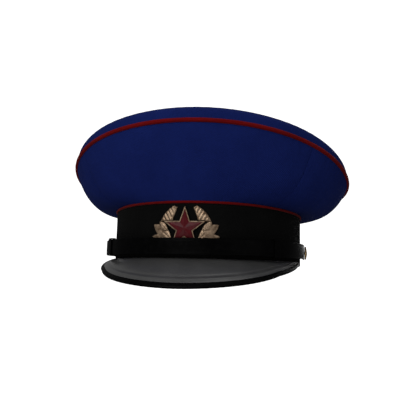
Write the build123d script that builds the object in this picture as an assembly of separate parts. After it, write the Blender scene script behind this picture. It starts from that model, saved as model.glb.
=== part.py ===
from build123d import *

import os
from math import atan2, cos, degrees, hypot, pi, radians, sin, sqrt, tan

# A military peaked cap, in millimetres.
# The origin is the centre of the head opening, in the plane of the band's lower edge.
# +Z is up, the visor points to -Y, and the wearer's left is +X.
# An angle called theta goes round the cap: 0 at the front, 90 degrees at the wearer's left.
# An offset is measured outwards from the outer face of the band.

# Band: a four-centre oval, and the layers inside it
BAND_HALF_WIDTH = 86.5
BAND_HALF_LENGTH = 105.0
BAND_END_RADIUS = 76.0
BAND_HEIGHT = 44.8
COVER_WALL = 1.3
FLANGE_WALL = 0.9
STIFFENER_WALL = 1.4
SWEATBAND_ROOM = 2.2
SWEATBAND_WALL = 1.0
FIT_GAP = 0.1
STIFFENER_LOW = 0.6
SWEATBAND_TOP = 36.0
SWEATBAND_LOW = 0.3
REED_RADIUS = 0.8
PAD_WALL = 1.4
PAD_LOW = 5.0
PAD_TOP = 29.0
PAD_HALF_ANGLE = 36.0
BOW_WIDTH = 16.0
BOW_HEIGHT = 6.0
BOW_WALL = 1.2

# Piping: a cloth tube round a filler cord
BAND_PIPING_RADIUS = 1.0
BAND_CORD_RADIUS = 0.5
CROWN_PIPING_RADIUS = 1.7
CROWN_CORD_RADIUS = 1.0
PIPING_GAP = 0.4
PIPING_RUNS = 24
RUN_SHARE = 0.45

# Crown: the ring where the top meets the walls, and the height of that ring
RING_HALF_WIDTH = 130.2
RING_HALF_LENGTH = 133.0
RING_SHIFT = 7.2
RING_HEIGHT = 82.5
RING_TILT = 15.0
RING_SADDLE = 8.1
RING_FRONT_EASE = -2.2
DOME_HEIGHT = 20.9
DOME_POWER = 3.9
CLOTH_WALL = 1.4
WALL_REACH = 0.69
WALL_RISE_FRONT = 0.32
WALL_RISE_SIDE = -0.09
FRONT_SEAM = 48.0
BACK_SEAM = 132.0
SEAM_GAP = 0.15

# Inside the crown
HOOP_RADIUS = 1.0
HOOP_INSET = 3.3
FERRULE_WALL = 0.5
CANVAS_WALL = 1.0
CANVAS_HALF_ANGLE = 40.0
STAY_WALL = 0.8
STAY_HALF_ANGLE = 3.2
LINING_WALL = 0.6
LINING_BACK = 0.5
LINING_INSET = 6.0
LINING_DROP = 2.0
LINING_RISE = 5.0
LINING_TURN = 0.25
LINING_REACH = 0.75
LINING_CLIMB = 0.2
LINING_GAP = 1.2
LINING_LOW = 30.0
LINING_DOME = 15.0
SHIELD_WALL = 0.3
SHIELD_GAP = 0.6
SHIELD_HALF_LENGTH = 62.0
SHIELD_HALF_WIDTH = 44.0

# How far a cutting shape reaches past what it cuts, and the room it leaves
CUT_REACH = 3.0
CUT_ANGLE_ROOM = 0.5
HOLE_DEPTH = 8.0
PAD_HOLE_ROOM = 2.0

# Visor
VISOR_REACH = 29.0
VISOR_DROP = 23.0
VISOR_HALF_ANGLE = 77.5
VISOR_TAPER = 1.8
VISOR_PLAN_POWER = 1.05
VISOR_DROP_POWER = 1.38
VISOR_SHOULDER = 1.45
VISOR_ROOT_FRONT = 1.8
VISOR_ROOT_END = 3.0
VISOR_WALL = 1.7
VISOR_LINING_WALL = 0.5
VISOR_LINING_INSET = 1.0
VISOR_LINING_END = 0.9
VISOR_END = 0.96
FLANGE_TOP = 16.0
BINDING_WIDTH = 3.6
BINDING_PROUD = 0.45

# Chin strap, laid along the front of the band and held by the side buttons
STRAP_STAND_OFF = 4.6
STRAP_RADIUS = 87.2
STRAP_WALL = 1.4
STRAP_WIDTH = 12.8
STRAP_TILT = 1.1
STRAP_OVERLAP = 55.0
KEEPER_ANGLE = 50.0
KEEPER_WIDTH = 6.5
KEEPER_WALL = 0.7
KEEPER_GAP = 0.25

# Side buttons
BUTTON_Y = 3.0
BUTTON_Z = 12.5
BUTTON_RADIUS = 6.0
BUTTON_DOME = 2.0
BUTTON_LIP = 0.5
BUTTON_WALL = 0.4
BUTTON_GAP = 0.3
SHANK_RADIUS = 1.5
SHANK_GAP = 0.3
WASHER_RADIUS = 4.0
WASHER_WALL = 0.4
PIN_RADIUS = 0.4
PIN_LENGTH = 10.0

# Badge
BADGE_Z = 24.9
WREATH_WALL = 1.0
STAR_RADIUS = 16.7
STAR_WAIST = 0.40
STAR_FRAME_WALL = 0.6
STAR_FRAME_BEAD = 0.4
STAR_FRAME_RIM = 3.0
ENAMEL_RELIEF = 1.5
PRONG_X = 8.0
PRONG_WALL = 0.4
PRONG_WIDTH = 2.0
PRONG_LEG = 6.0
PRONG_FOLD = 0.4

# Wreath on the wearer's right, in the badge's plane: the curved ear above,
# leaves as middle x and z, length, width and turn, and the tie at the middle
EAR_ARC = ((-20.3, 3.6), (-15.6, 12.2), (-8.2, 17.2))
EAR_INSIDE = ((-6.2, 16.6), (-10.2, 5.7), (-16.5, 3.4))
LEAVES = (
    (-16.9, 1.4, 9.6, 5.2, -38),
    (-17.6, -3.2, 19.0, 9.2, -42),
    (-18.0, -8.0, 17.4, 6.2, -10),
    (-15.2, -12.4, 15.0, 5.6, 8),
    (-9.4, -15.6, 14.0, 4.8, -6),
)
TIE_Z = -16.0
TIE_WIDTH = 9.0
TIE_HEIGHT = 5.0

FAR = 400.0

# Places of the layers, from the sizes above
COVER_IN = -COVER_WALL
FLANGE_OUT = COVER_IN - FIT_GAP
FLANGE_IN = FLANGE_OUT - FLANGE_WALL
STIFFENER_OUT = FLANGE_IN - FIT_GAP
STIFFENER_IN = STIFFENER_OUT - STIFFENER_WALL
SWEATBAND_OUT = STIFFENER_IN - SWEATBAND_ROOM
SWEATBAND_IN = SWEATBAND_OUT - SWEATBAND_WALL
COVER_TOP = BAND_HEIGHT - BAND_PIPING_RADIUS - FIT_GAP
WALL_LOW = BAND_HEIGHT + BAND_PIPING_RADIUS + FIT_GAP


def side_radius(half_width, end_radius, rise):
    """Radius of a side arc that is tangent to an end arc and reaches half_width."""
    return (half_width**2 + rise**2 - end_radius**2) / (2 * (half_width - end_radius))


END_Y = BAND_HALF_LENGTH - BAND_END_RADIUS
SIDE_RADIUS = side_radius(BAND_HALF_WIDTH, BAND_END_RADIUS, END_Y)
SIDE_X = SIDE_RADIUS - BAND_HALF_WIDTH
JOIN_ANGLE = degrees(atan2(SIDE_X, END_Y))


# ---------------------------------------------------------------- the band's oval
def oval_wire(offset, z):
    """The band's oval, moved outwards by offset, at height z."""
    end = BAND_END_RADIUS + offset
    side = SIDE_RADIUS + offset
    arcs = [
        (-SIDE_X, 0, side, JOIN_ANGLE - 90, 90 - JOIN_ANGLE),
        (0, END_Y, end, 90 - JOIN_ANGLE, 90 + JOIN_ANGLE),
        (SIDE_X, 0, side, 90 + JOIN_ANGLE, 270 - JOIN_ANGLE),
        (0, -END_Y, end, 270 - JOIN_ANGLE, 270 + JOIN_ANGLE),
    ]
    return Wire([Edge.make_circle(r, Plane((x, y, z)), a, b) for x, y, r, a, b in arcs])


def oval_ring(outer, inner, low, high):
    """A wall round the band between two offsets and two heights."""
    face = Face(oval_wire(outer, low), [oval_wire(inner, low)])
    return Solid.extrude(face, Vector(0, 0, high - low))


def oval_bead(offset, z, radius, bore=0.0):
    """A round bead, or a tube, along the band's oval."""
    path = oval_wire(offset, z)
    section = Circle(radius) - Circle(bore) if bore else Circle(radius)
    pieces = [sweep(Plane(edge @ 0, z_dir=edge % 0) * section, path=edge) for edge in path.edges()]
    return pieces[0].fuse(*pieces[1:])


def oval_normal(theta):
    """Direction of the band's normal at theta, as an angle from the front."""
    return atan2(BAND_HALF_LENGTH * sin(theta), BAND_HALF_WIDTH * cos(theta))


def oval_point(theta, offset, z):
    """Point of the offset oval at theta."""
    angle = oval_normal(theta)
    across, along = sin(angle), -cos(angle)
    if abs(along) > cos(radians(JOIN_ANGLE)):
        centre_x, centre_y, reach = 0.0, END_Y if along > 0 else -END_Y, BAND_END_RADIUS
    else:
        centre_x, centre_y, reach = -SIDE_X if across > 0 else SIDE_X, 0.0, SIDE_RADIUS
    reach += offset
    return Vector(centre_x + reach * across, centre_y + reach * along, z)


def front_wedge(half_angle, low, high):
    """Everything within half_angle of the front, seen from the middle of the cap."""
    x, y = FAR * sin(radians(half_angle)), -FAR * cos(radians(half_angle))
    outline = Polyline((0, 0), (x, y), (x, -FAR), (-x, -FAR), (-x, y), close=True)
    return extrude(Plane((0, 0, low)) * make_face(outline), high - low)


# ---------------------------------------------------------------- curved panels
def surface_normal(point, u, v, step=1e-4):
    """Unit normal of the surface point(u, v), by small steps."""
    along_u = point(u + step, v) - point(u - step, v)
    along_v = point(u, v + step) - point(u, v - step)
    return along_u.cross(along_v).normalized()


def panel(point, u_range, v_range, near, far, rows=13, columns=9):
    """Closed panel between two distances from the surface point(u, v).

    One outline for each step of u is carried smoothly along the panel, and the two
    ends are closed by ruled faces.
    """
    outlines, caps = [], []
    for i in range(rows):
        u = u_range[0] + (u_range[1] - u_range[0]) * i / (rows - 1)
        lines = []
        for distance in (near, far):
            line = []
            for j in range(columns):
                v = v_range[0] + (v_range[1] - v_range[0]) * j / (columns - 1)
                line.append(point(u, v) + surface_normal(point, u, v) * distance)
            lines.append(line)
        front, back = lines
        front_edge, back_edge = Edge.make_spline(front), Edge.make_spline(back)
        ends = [Edge.make_line(front[-1], back[-1]), Edge.make_line(back[0], front[0])]
        outlines.append(Wire([front_edge, ends[0], back_edge, ends[1]]))
        if i in (0, rows - 1):
            caps.append(Face.make_surface_from_curves(front_edge, back_edge))
    sides = Shell.make_loft(outlines).faces()
    return outward(Solid(Shell([*sides, *caps])))


def outward(solid):
    """The same solid with its faces turned outwards."""
    return solid if solid.volume > 0 else Solid(Shell([-face for face in solid.faces()]))


# ---------------------------------------------------------------- crown
def ring_height(theta, share=1.0):
    """Height of the crown ring, and of the plane it spans further in."""
    return (
        RING_HEIGHT
        + share * RING_TILT * cos(theta)
        + share**2 * RING_SADDLE * cos(2 * theta)
        + share**3 * RING_FRONT_EASE * cos(3 * theta)
    )


def ring_point(theta, inset=0.0, lower=0.0):
    """Point of the crown ring, moved in and down."""
    return Vector(
        (RING_HALF_WIDTH - inset) * sin(theta),
        RING_SHIFT - (RING_HALF_LENGTH - inset) * cos(theta),
        ring_height(theta) - lower,
    )


def wall_rise(theta):
    """How early the crown wall turns up: straighter at the front, baggier at the sides and back."""
    return WALL_RISE_SIDE + (WALL_RISE_FRONT - WALL_RISE_SIDE) * max(cos(theta), 0.0) ** 2


def wall_point(theta, share):
    """Outer face of the crown wall: from the band's top at 0 to the piping at 1."""
    foot = oval_point(theta, 0, WALL_LOW)
    head = ring_point(theta)
    bend = Vector(
        foot.X + WALL_REACH * (head.X - foot.X),
        foot.Y + WALL_REACH * (head.Y - foot.Y),
        foot.Z + wall_rise(theta) * (head.Z - foot.Z),
    )
    stop = 1 - (CROWN_PIPING_RADIUS + PIPING_GAP) / (2 * (head - bend).length)
    v = share * stop
    return foot * (1 - v) ** 2 + bend * (2 * v * (1 - v)) + head * v**2


def wall_panel(start, end, low, high, near, far, rows=13):
    """Part of the crown wall between two angles and two shares of its height."""
    return panel(wall_point, (radians(start), radians(end)), (low, high), near, far, rows)


def quarters():
    """Angles of the four quarters that the crown's wall and its lining are sewn from."""
    gap = SEAM_GAP / 2
    return {
        "front": (gap - FRONT_SEAM, FRONT_SEAM - gap),
        "left": (FRONT_SEAM + gap, BACK_SEAM - gap),
        "back": (BACK_SEAM + gap, 360 - BACK_SEAM - gap),
        "right": (gap - BACK_SEAM, -FRONT_SEAM - gap),
    }


def dome_wire(rise_angle, inset, height, lower, points=24):
    """One level line of a domed top: 0 at its middle, 90 degrees at its rim."""
    power = 2 / DOME_POWER
    share = sin(radians(rise_angle)) ** power
    rise = cos(radians(rise_angle)) ** power * height
    line = []
    for i in range(points):
        theta = 2 * pi * i / points
        x = share * (RING_HALF_WIDTH - inset) * sin(theta)
        y = RING_SHIFT - share * (RING_HALF_LENGTH - inset) * cos(theta)
        line.append(Vector(x, y, ring_height(theta, share) - lower + rise))
    return Wire([Edge.make_spline(line, periodic=True)])


def dome(inset, height, rim_angle, wall, lower=0.0):
    """Domed sheet that fills the crown ring, open below."""
    levels = (rim_angle, 88, 84, 79, 73, 66, 58, 48, 38, 27, 14)
    wires, shells = [], []
    for skin in (0.0, wall):
        loops = [dome_wire(a, inset + skin, height - skin, lower) for a in levels]
        top = Vector(0, RING_SHIFT, RING_HEIGHT - lower + height - skin)
        shells.append(Shell.make_loft([*loops, Vertex(*top)], True))
        wires.append(loops[0])
    rim = Face.make_surface_from_curves(wires[0].edges()[0], wires[1].edges()[0])
    faces = [*shells[0].faces(), *shells[1].faces(), rim]
    return outward(Solid(Shell(faces)))


def rim_angle_for(clearance, height):
    """Angle of the level line that lies clearance above the crown ring."""
    return degrees(pi / 2 - atan2((clearance / height) ** (DOME_POWER / 2), 1))


def ring_path(inset=0.0, lower=0.0):
    """Closed chain of short runs and tangent arcs along the crown ring."""
    turn = 2 * pi / PIPING_RUNS
    spread = 1 / cos(turn / 2)
    corners = []
    for i in range(PIPING_RUNS):
        point = ring_point(i * turn, inset, lower)
        corners.append(Vector(point.X * spread, (point.Y - RING_SHIFT) * spread + RING_SHIFT, point.Z))
    radii = []
    for i, corner in enumerate(corners):
        back = corners[i - 1] - corner
        ahead = corners[(i + 1) % PIPING_RUNS] - corner
        bend = radians(180 - back.get_angle(ahead))
        radii.append(RUN_SHARE * min(back.length, ahead.length) / tan(bend / 2))
    return FilletPolyline(*corners, radius=radii, close=True)


def along(path, section):
    """A section carried along a path."""
    return sweep(Plane(path @ 0, z_dir=path % 0) * section, path=path)


def crown():
    """Top, four walls, and the red piping between them."""
    path = ring_path()
    tube = Circle(CROWN_PIPING_RADIUS) - Circle(CROWN_CORD_RADIUS + FIT_GAP / 2)
    rim = rim_angle_for(CROWN_PIPING_RADIUS + PIPING_GAP, DOME_HEIGHT)
    parts = {}
    for name, (start, end) in quarters().items():
        parts[f"crown_{name}_wall"] = wall_panel(start, end, 0, 1, 0, -CLOTH_WALL)
    parts["crown_top_panel"] = dome(0, DOME_HEIGHT, rim, CLOTH_WALL)
    parts["crown_piping"] = along(path, tube)
    parts["crown_piping_cord"] = along(path, Circle(CROWN_CORD_RADIUS))
    return parts


def crown_inside():
    """Wire hoop and its ferrule, front canvas and stay."""
    path = ring_path(HOOP_INSET)
    back_arc = path.edges().sort_by(Axis.Y)[-1]
    sleeve = Circle(HOOP_RADIUS + FIT_GAP + FERRULE_WALL) - Circle(HOOP_RADIUS + FIT_GAP)
    canvas_near = -CLOTH_WALL - FIT_GAP
    canvas_far = canvas_near - CANVAS_WALL
    stay_near = canvas_far - FIT_GAP
    stay_far = stay_near - STAY_WALL
    return {
        "crown_hoop": along(path, Circle(HOOP_RADIUS)),
        "hoop_ferrule": along(back_arc, sleeve),
        "front_canvas": wall_panel(
            -CANVAS_HALF_ANGLE, CANVAS_HALF_ANGLE, 0.05, 0.93, canvas_near, canvas_far
        ),
        "front_stay": wall_panel(
            -STAY_HALF_ANGLE, STAY_HALF_ANGLE, 0.08, 0.9, stay_near, stay_far, 5
        ),
    }


# ---------------------------------------------------------------- lining
def lining_point(theta, share):
    """Outer face of the lining's side: up inside the band, then out under the wall to the hoop."""
    offset = STIFFENER_IN - LINING_BACK
    if share < LINING_TURN:
        return oval_point(theta, offset, LINING_LOW + (WALL_LOW - LINING_LOW) * share / LINING_TURN)
    start = oval_point(theta, offset, WALL_LOW)
    upright = oval_point(theta, offset, WALL_LOW + LINING_RISE)
    end = ring_point(theta, LINING_INSET, LINING_DROP)
    bend = Vector(
        upright.X + LINING_REACH * (end.X - upright.X),
        upright.Y + LINING_REACH * (end.Y - upright.Y),
        upright.Z + (wall_rise(theta) + LINING_CLIMB) * (end.Z - upright.Z),
    )
    v = (share - LINING_TURN) / (1 - LINING_TURN)
    w = 1 - v
    return start * w**3 + upright * (3 * v * w**2) + bend * (3 * v**2 * w) + end * v**3


def shield_point(across, along_axis):
    """Lower face of the lining's top, over a diamond that points to the front."""
    x = (across - along_axis) * SHIELD_HALF_WIDTH / 2
    y = (across + along_axis) * SHIELD_HALF_LENGTH / 2
    reach_x = RING_HALF_WIDTH - LINING_INSET - LINING_WALL
    reach_y = RING_HALF_LENGTH - LINING_INSET - LINING_WALL
    share = min(hypot(x / reach_x, y / reach_y), 1.0)
    rise = (1 - share**DOME_POWER) ** (1 / DOME_POWER) * (LINING_DOME - LINING_WALL)
    theta = atan2(x, -y)
    return Vector(x, RING_SHIFT + y, ring_height(theta, share) - LINING_DROP + rise)


def lining():
    """Lining of the crown's top and side, and the clear shield sewn under its top."""
    rim = rim_angle_for(LINING_GAP, LINING_DOME)
    shield = (-SHIELD_GAP, -SHIELD_GAP - SHIELD_WALL)
    parts = {
        "lining_top": dome(LINING_INSET, LINING_DOME, rim, LINING_WALL, LINING_DROP),
        "lining_shield": panel(shield_point, (-1, 1), (-1, 1), *shield, 7, 7),
    }
    for name, (start, end) in quarters().items():
        angles = (radians(start), radians(end))
        parts[f"lining_{name}_side"] = panel(lining_point, angles, (0, 1), 0, -LINING_WALL, 13, 13)
    return parts


# ---------------------------------------------------------------- band
def across_button(radius, low_x, high_x):
    """Round bar through both button places, along X, between two distances from the middle."""
    bar = Cylinder(radius, high_x - low_x, rotation=(0, 90, 0))
    bar = Pos((low_x + high_x) / 2, BUTTON_Y, BUTTON_Z) * bar
    return [bar, mirror(bar, about=Plane.YZ)]


def prong_slots(room):
    """Boxes round the badge's prongs where they pass through the band."""
    size = (PRONG_WALL + 2 * room, 2 * HOLE_DEPTH, PRONG_WIDTH + 2 * room)
    return [Pos(x, -BAND_HALF_LENGTH, BADGE_Z) * Box(*size) for x in (PRONG_X, -PRONG_X)]


def under_visor():
    """Everything below the upper face of the visor's root, for the cover to stop at."""
    half = radians(VISOR_HALF_ANGLE + CUT_ANGLE_ROOM)

    def point(theta, share):
        height = visor_root(theta) + FIT_GAP
        return oval_point(theta, CUT_REACH * (1 - 2 * share), height)

    return panel(point, (-half, half), (0, 1), 0, -2 * VISOR_ROOT_END, 17, 5)


def band():
    """Cover, stiffener and piping of the band, and the sweatband's parts inside it."""
    shank_room = SHANK_RADIUS + SHANK_GAP
    shank_holes = across_button(shank_room, BAND_HALF_WIDTH - HOLE_DEPTH, BAND_HALF_WIDTH + CUT_REACH)
    holes = [*shank_holes, *prong_slots(SHANK_GAP)]
    bead = BAND_CORD_RADIUS
    pad = oval_ring(STIFFENER_IN - FIT_GAP, STIFFENER_IN - FIT_GAP - PAD_WALL, PAD_LOW, PAD_TOP)
    pad_hole = Pos(0, -BAND_HALF_LENGTH, BADGE_Z) * Box(
        2 * (PRONG_X + PRONG_LEG + PAD_HOLE_ROOM), 2 * HOLE_DEPTH, 2 * PRONG_WIDTH + PAD_HOLE_ROOM
    )
    bow_y = END_Y + sqrt((BAND_END_RADIUS + SWEATBAND_IN) ** 2 - (BOW_WIDTH / 2) ** 2)
    bow_y -= FIT_GAP + BOW_WALL / 2
    bow_half = Box(BOW_WIDTH / 2, BOW_WALL, BOW_HEIGHT)
    bow_half = Pos(BOW_WIDTH / 4, bow_y, SWEATBAND_TOP - BOW_HEIGHT) * bow_half
    return {
        "band_cover": oval_ring(0, COVER_IN, 0, COVER_TOP) - under_visor() - holes,
        "band_stiffener": oval_ring(STIFFENER_OUT, STIFFENER_IN, STIFFENER_LOW, COVER_TOP) - holes,
        "band_piping": oval_bead(0, BAND_HEIGHT, BAND_PIPING_RADIUS, bead + FIT_GAP / 2),
        "band_piping_cord": oval_bead(0, BAND_HEIGHT, bead),
        "sweatband": oval_ring(SWEATBAND_OUT, SWEATBAND_IN, SWEATBAND_LOW, SWEATBAND_TOP),
        "sweatband_reed": oval_bead(
            (STIFFENER_IN + SWEATBAND_OUT) / 2, STIFFENER_LOW + REED_RADIUS, REED_RADIUS
        ),
        "sweatband_bow": fillet(
            (bow_half + mirror(bow_half, about=Plane.YZ)).edges().filter_by(Axis.Y), BOW_HEIGHT / 3
        ),
        "forehead_pad": (pad & front_wedge(PAD_HALF_ANGLE, 0, BAND_HEIGHT)) - pad_hole,
    }


# ---------------------------------------------------------------- visor
def visor_share(theta):
    """Place along the visor: 0 at the front, 1 at its ends."""
    return min(abs(degrees(theta)) / VISOR_HALF_ANGLE, 1.0)


def visor_taper(theta):
    """Share of the visor's full size: 1 at the front, 0 at its ends."""
    return 1 - visor_share(theta) ** VISOR_TAPER


def visor_reach(theta):
    """How far the visor stands out from the band."""
    return VISOR_REACH * visor_taper(theta) ** VISOR_PLAN_POWER


def binding_width(theta):
    """Width of the edge binding, narrower where the visor itself is narrow."""
    reach = visor_reach(theta)
    return BINDING_WIDTH * reach / (reach + BINDING_WIDTH)


def visor_root(theta):
    """Height of the visor's upper face where it leaves the band."""
    return VISOR_ROOT_FRONT + (VISOR_ROOT_END - VISOR_ROOT_FRONT) * visor_share(theta) ** 2


def visor_height(theta, reach):
    """Height of the visor's upper face at a distance from the band."""
    root = visor_root(theta)
    edge = VISOR_ROOT_END - VISOR_DROP * visor_taper(theta) ** VISOR_DROP_POWER
    share = max(reach, 0.0) / max(visor_reach(theta), 1e-6)
    return root - (root - edge) * share**VISOR_SHOULDER


def visor_panel(inner, outer, near, far, end_share, columns=9):
    """Part of the visor between two functions of theta that give its reach."""

    def point(theta, share):
        reach = outer(theta) + (inner(theta) - outer(theta)) * share
        return oval_point(theta, reach, visor_height(theta, reach))

    half = radians(VISOR_HALF_ANGLE * end_share)
    return panel(point, (-half, half), (0, 1), near, far, 31, columns)


def visor():
    """Shell with its sewing flange, lining below it, and the binding round its edge."""
    flange_middle = (FLANGE_OUT + FLANGE_IN) / 2
    tip = oval_point(radians(VISOR_HALF_ANGLE * VISOR_END), 0, 0)
    flange_angle = degrees(atan2(tip.X, -tip.Y)) - 1

    def root(theta):
        return flange_middle

    def lining_root(theta):
        return VISOR_LINING_INSET

    def lining_edge(theta):
        return visor_reach(theta) - binding_width(theta) - FIT_GAP

    def binding_inner(theta):
        return visor_reach(theta) - binding_width(theta)

    shell = visor_panel(root, lining_edge, 0, -VISOR_WALL, VISOR_END)
    flange = oval_ring(FLANGE_OUT, FLANGE_IN, VISOR_ROOT_FRONT - VISOR_WALL / 2, FLANGE_TOP)
    flange = flange & front_wedge(flange_angle, -VISOR_DROP, FLANGE_TOP + 1)
    below = -VISOR_WALL - FIT_GAP
    return {
        "visor_shell": shell + flange,
        "visor_lining": visor_panel(
            lining_root, lining_edge, below, below - VISOR_LINING_WALL, VISOR_LINING_END
        ),
        "visor_edge_binding": visor_panel(
            binding_inner, visor_reach, BINDING_PROUD, below - VISOR_LINING_WALL, VISOR_END, 5
        ),
    }


# ---------------------------------------------------------------- chin strap
STRAP_CENTRE_Y = STRAP_RADIUS - BAND_HALF_LENGTH - STRAP_STAND_OFF


def tilted(shape):
    """Strap pieces are drawn level and then tipped down at the front, about the buttons."""
    pivot = Pos(0, BUTTON_Y, BUTTON_Z)
    return pivot * Rot(X=STRAP_TILT) * Pos(0, -BUTTON_Y, 0) * shape


def strap_line(offset):
    """Line of the strap: from the wearer's left button, round the front to the end of its overlap."""
    reach = STRAP_RADIUS + offset
    return Wire([
        Edge.make_line((reach, BUTTON_Y), (reach, STRAP_CENTRE_Y)),
        Edge.make_circle(reach, Plane((0, STRAP_CENTRE_Y, 0)), 270 - STRAP_OVERLAP, 360),
    ])


def strap_half(layer):
    """One half of the strap: a strip that starts round the wearer's left button."""
    inner = layer * (STRAP_WALL + FIT_GAP)
    outer = inner + STRAP_WALL
    lines = [strap_line(inner), strap_line(outer)]
    ends = [
        Edge.make_line(*[(STRAP_RADIUS + o, BUTTON_Y) for o in (inner, outer)]),
        Edge.make_line(*[strap_end(o) for o in (inner, outer)]),
    ]
    plan = Face(Wire([*lines[0].edges(), *lines[1].edges(), *ends]))
    strip = Pos(0, 0, -STRAP_WIDTH / 2) * Solid.extrude(plan, Vector(0, 0, STRAP_WIDTH))
    tab = Cylinder(STRAP_WIDTH / 2, STRAP_WALL, rotation=(0, 90, 0))
    tab = Pos(STRAP_RADIUS + (inner + outer) / 2, BUTTON_Y, 0) * tab
    hole = Cylinder(SHANK_RADIUS + SHANK_GAP, 2 * HOLE_DEPTH, rotation=(0, 90, 0))
    hole = Pos(STRAP_RADIUS, BUTTON_Y, 0) * hole
    return tilted(strip + tab - hole)


def strap_end(offset):
    """End of a strap half, just past the far keeper."""
    reach = STRAP_RADIUS + offset
    angle = radians(STRAP_OVERLAP)
    return (-reach * sin(angle), STRAP_CENTRE_Y - reach * cos(angle))


def keeper():
    """Leather loop round both layers, on the wearer's left of the front."""
    low = STRAP_RADIUS - KEEPER_GAP
    high = STRAP_RADIUS + 2 * STRAP_WALL + FIT_GAP + KEEPER_GAP
    tall = STRAP_WIDTH / 2 + KEEPER_GAP
    outside = Cylinder(high + KEEPER_WALL, 2 * (tall + KEEPER_WALL))
    outside -= Cylinder(low - KEEPER_WALL, 2 * (tall + KEEPER_WALL))
    inside = Cylinder(high, 2 * tall) - Cylinder(low, 2 * tall)
    middle = radians(KEEPER_ANGLE)
    slab = Box(KEEPER_WIDTH, 4 * STRAP_WIDTH, 4 * STRAP_WIDTH)
    slab = Pos(high * sin(middle), -high * cos(middle), 0) * Rot(Z=KEEPER_ANGLE) * slab
    return tilted(Pos(0, STRAP_CENTRE_Y, 0) * ((outside - inside) & slab))


def chin_strap():
    """Two strap halves, one over the other at the front, and the keeper at each end of the overlap."""
    loop = keeper()
    return {
        "strap_left_half": strap_half(1),
        "strap_right_half": mirror(strap_half(0), about=Plane.YZ),
        "keeper_left": loop,
        "keeper_right": mirror(loop, about=Plane.YZ),
    }


# ---------------------------------------------------------------- side buttons
def turned(*points):
    """Solid of revolution about X from points (x, radius), placed at the wearer's left button."""
    face = make_face(Polyline(*[(x, r) for x, r in points], close=True))
    return Pos(0, BUTTON_Y, BUTTON_Z) * revolve(face, Axis.X)


def button():
    """Domed face crimped on a plate with a shank, and the washer and pin that hold it inside."""
    seat = STRAP_RADIUS + 2 * STRAP_WALL + FIT_GAP + BUTTON_GAP
    lip = seat + BUTTON_LIP + BUTTON_WALL
    top = seat + BUTTON_DOME + BUTTON_WALL
    inner_radius = BUTTON_RADIUS - BUTTON_WALL
    outer_dome = ThreePointArc((lip, BUTTON_RADIUS), dome_middle(lip, top, BUTTON_RADIUS), (top, 0))
    under = top - BUTTON_WALL
    under_lip = lip - BUTTON_WALL / 2
    inner_middle = dome_middle(under_lip, under, inner_radius)
    inner_dome = ThreePointArc((under, 0), inner_middle, (under_lip, inner_radius))
    outline = [
        Line((seat, BUTTON_RADIUS), (lip, BUTTON_RADIUS)), outer_dome, Line((top, 0), (under, 0)),
        inner_dome, Line((under_lip, inner_radius), (seat, inner_radius)),
        Line((seat, inner_radius), (seat, BUTTON_RADIUS)),
    ]
    face = Pos(0, BUTTON_Y, BUTTON_Z) * revolve(make_face(outline), Axis.X)
    inside_radius = SIDE_RADIUS + STIFFENER_IN
    wall_x = sqrt(inside_radius**2 - (BUTTON_Y + WASHER_RADIUS) ** 2) - SIDE_X - FIT_GAP
    pin_x = wall_x - WASHER_WALL - FIT_GAP - PIN_RADIUS
    foot = pin_x - PIN_RADIUS - FIT_GAP
    plate = seat + BUTTON_LIP
    shank = turned(
        (foot, 0), (foot, SHANK_RADIUS), (seat, SHANK_RADIUS),
        (seat, inner_radius - FIT_GAP), (plate, inner_radius - FIT_GAP), (plate, 0),
    )
    eye = Pos(pin_x, BUTTON_Y, BUTTON_Z)
    shank -= eye * Cylinder(PIN_RADIUS + FIT_GAP / 2, 4 * SHANK_RADIUS)
    washer_x = (wall_x - WASHER_WALL, SHANK_RADIUS + SHANK_GAP)
    washer = turned(
        washer_x, (wall_x, washer_x[1]), (wall_x, WASHER_RADIUS), (washer_x[0], WASHER_RADIUS)
    )
    loop = Torus(2 * PIN_RADIUS, PIN_RADIUS / 2, rotation=(0, 90, 0))
    loop = Pos(0, 0, PIN_LENGTH / 2 + PIN_RADIUS) * loop
    pin = eye * (Cylinder(PIN_RADIUS, PIN_LENGTH) + loop)
    return {"face": face, "shank": shank, "washer": washer, "pin": pin}


def dome_middle(lip, top, radius):
    """Middle point of the arc from the lip to the top of a shallow dome."""
    height = top - lip
    sphere = (radius**2 + height**2) / (2 * height)
    half = atan2(radius, sphere - height) / 2
    return (top - sphere + sphere * cos(half), sphere * sin(half))


def buttons():
    """The same four pieces at each side."""
    parts = {}
    for name, shape in button().items():
        parts[f"button_left_{name}"] = shape
        parts[f"button_right_{name}"] = mirror(shape, about=Plane.YZ)
    return parts


# ---------------------------------------------------------------- badge
def leaf(x, z, length, width, turn):
    """One leaf of the wreath, in the badge's own plane."""
    return Pos(x, z) * Rot(Z=turn) * Ellipse(length / 2, width / 2)


def wreath_outline():
    """Sprays of leaves at both sides of the star, tied below it."""
    inside = Polyline(EAR_ARC[-1], *EAR_INSIDE, EAR_ARC[0])
    side = make_face([ThreePointArc(*EAR_ARC), inside])
    for place in LEAVES:
        side = side + leaf(*place)
    tie = Pos(0, TIE_Z) * RectangleRounded(TIE_WIDTH, TIE_HEIGHT, TIE_HEIGHT / 3)
    return side + mirror(side, about=Plane.YZ) + tie


def star(radius):
    """Corners of a five-pointed star, in the badge's own plane."""
    corners = []
    for i in range(10):
        reach = radius if i % 2 == 0 else radius * STAR_WAIST
        angle = pi / 2 + i * pi / 5
        corners.append((reach * cos(angle), reach * sin(angle)))
    return corners


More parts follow.
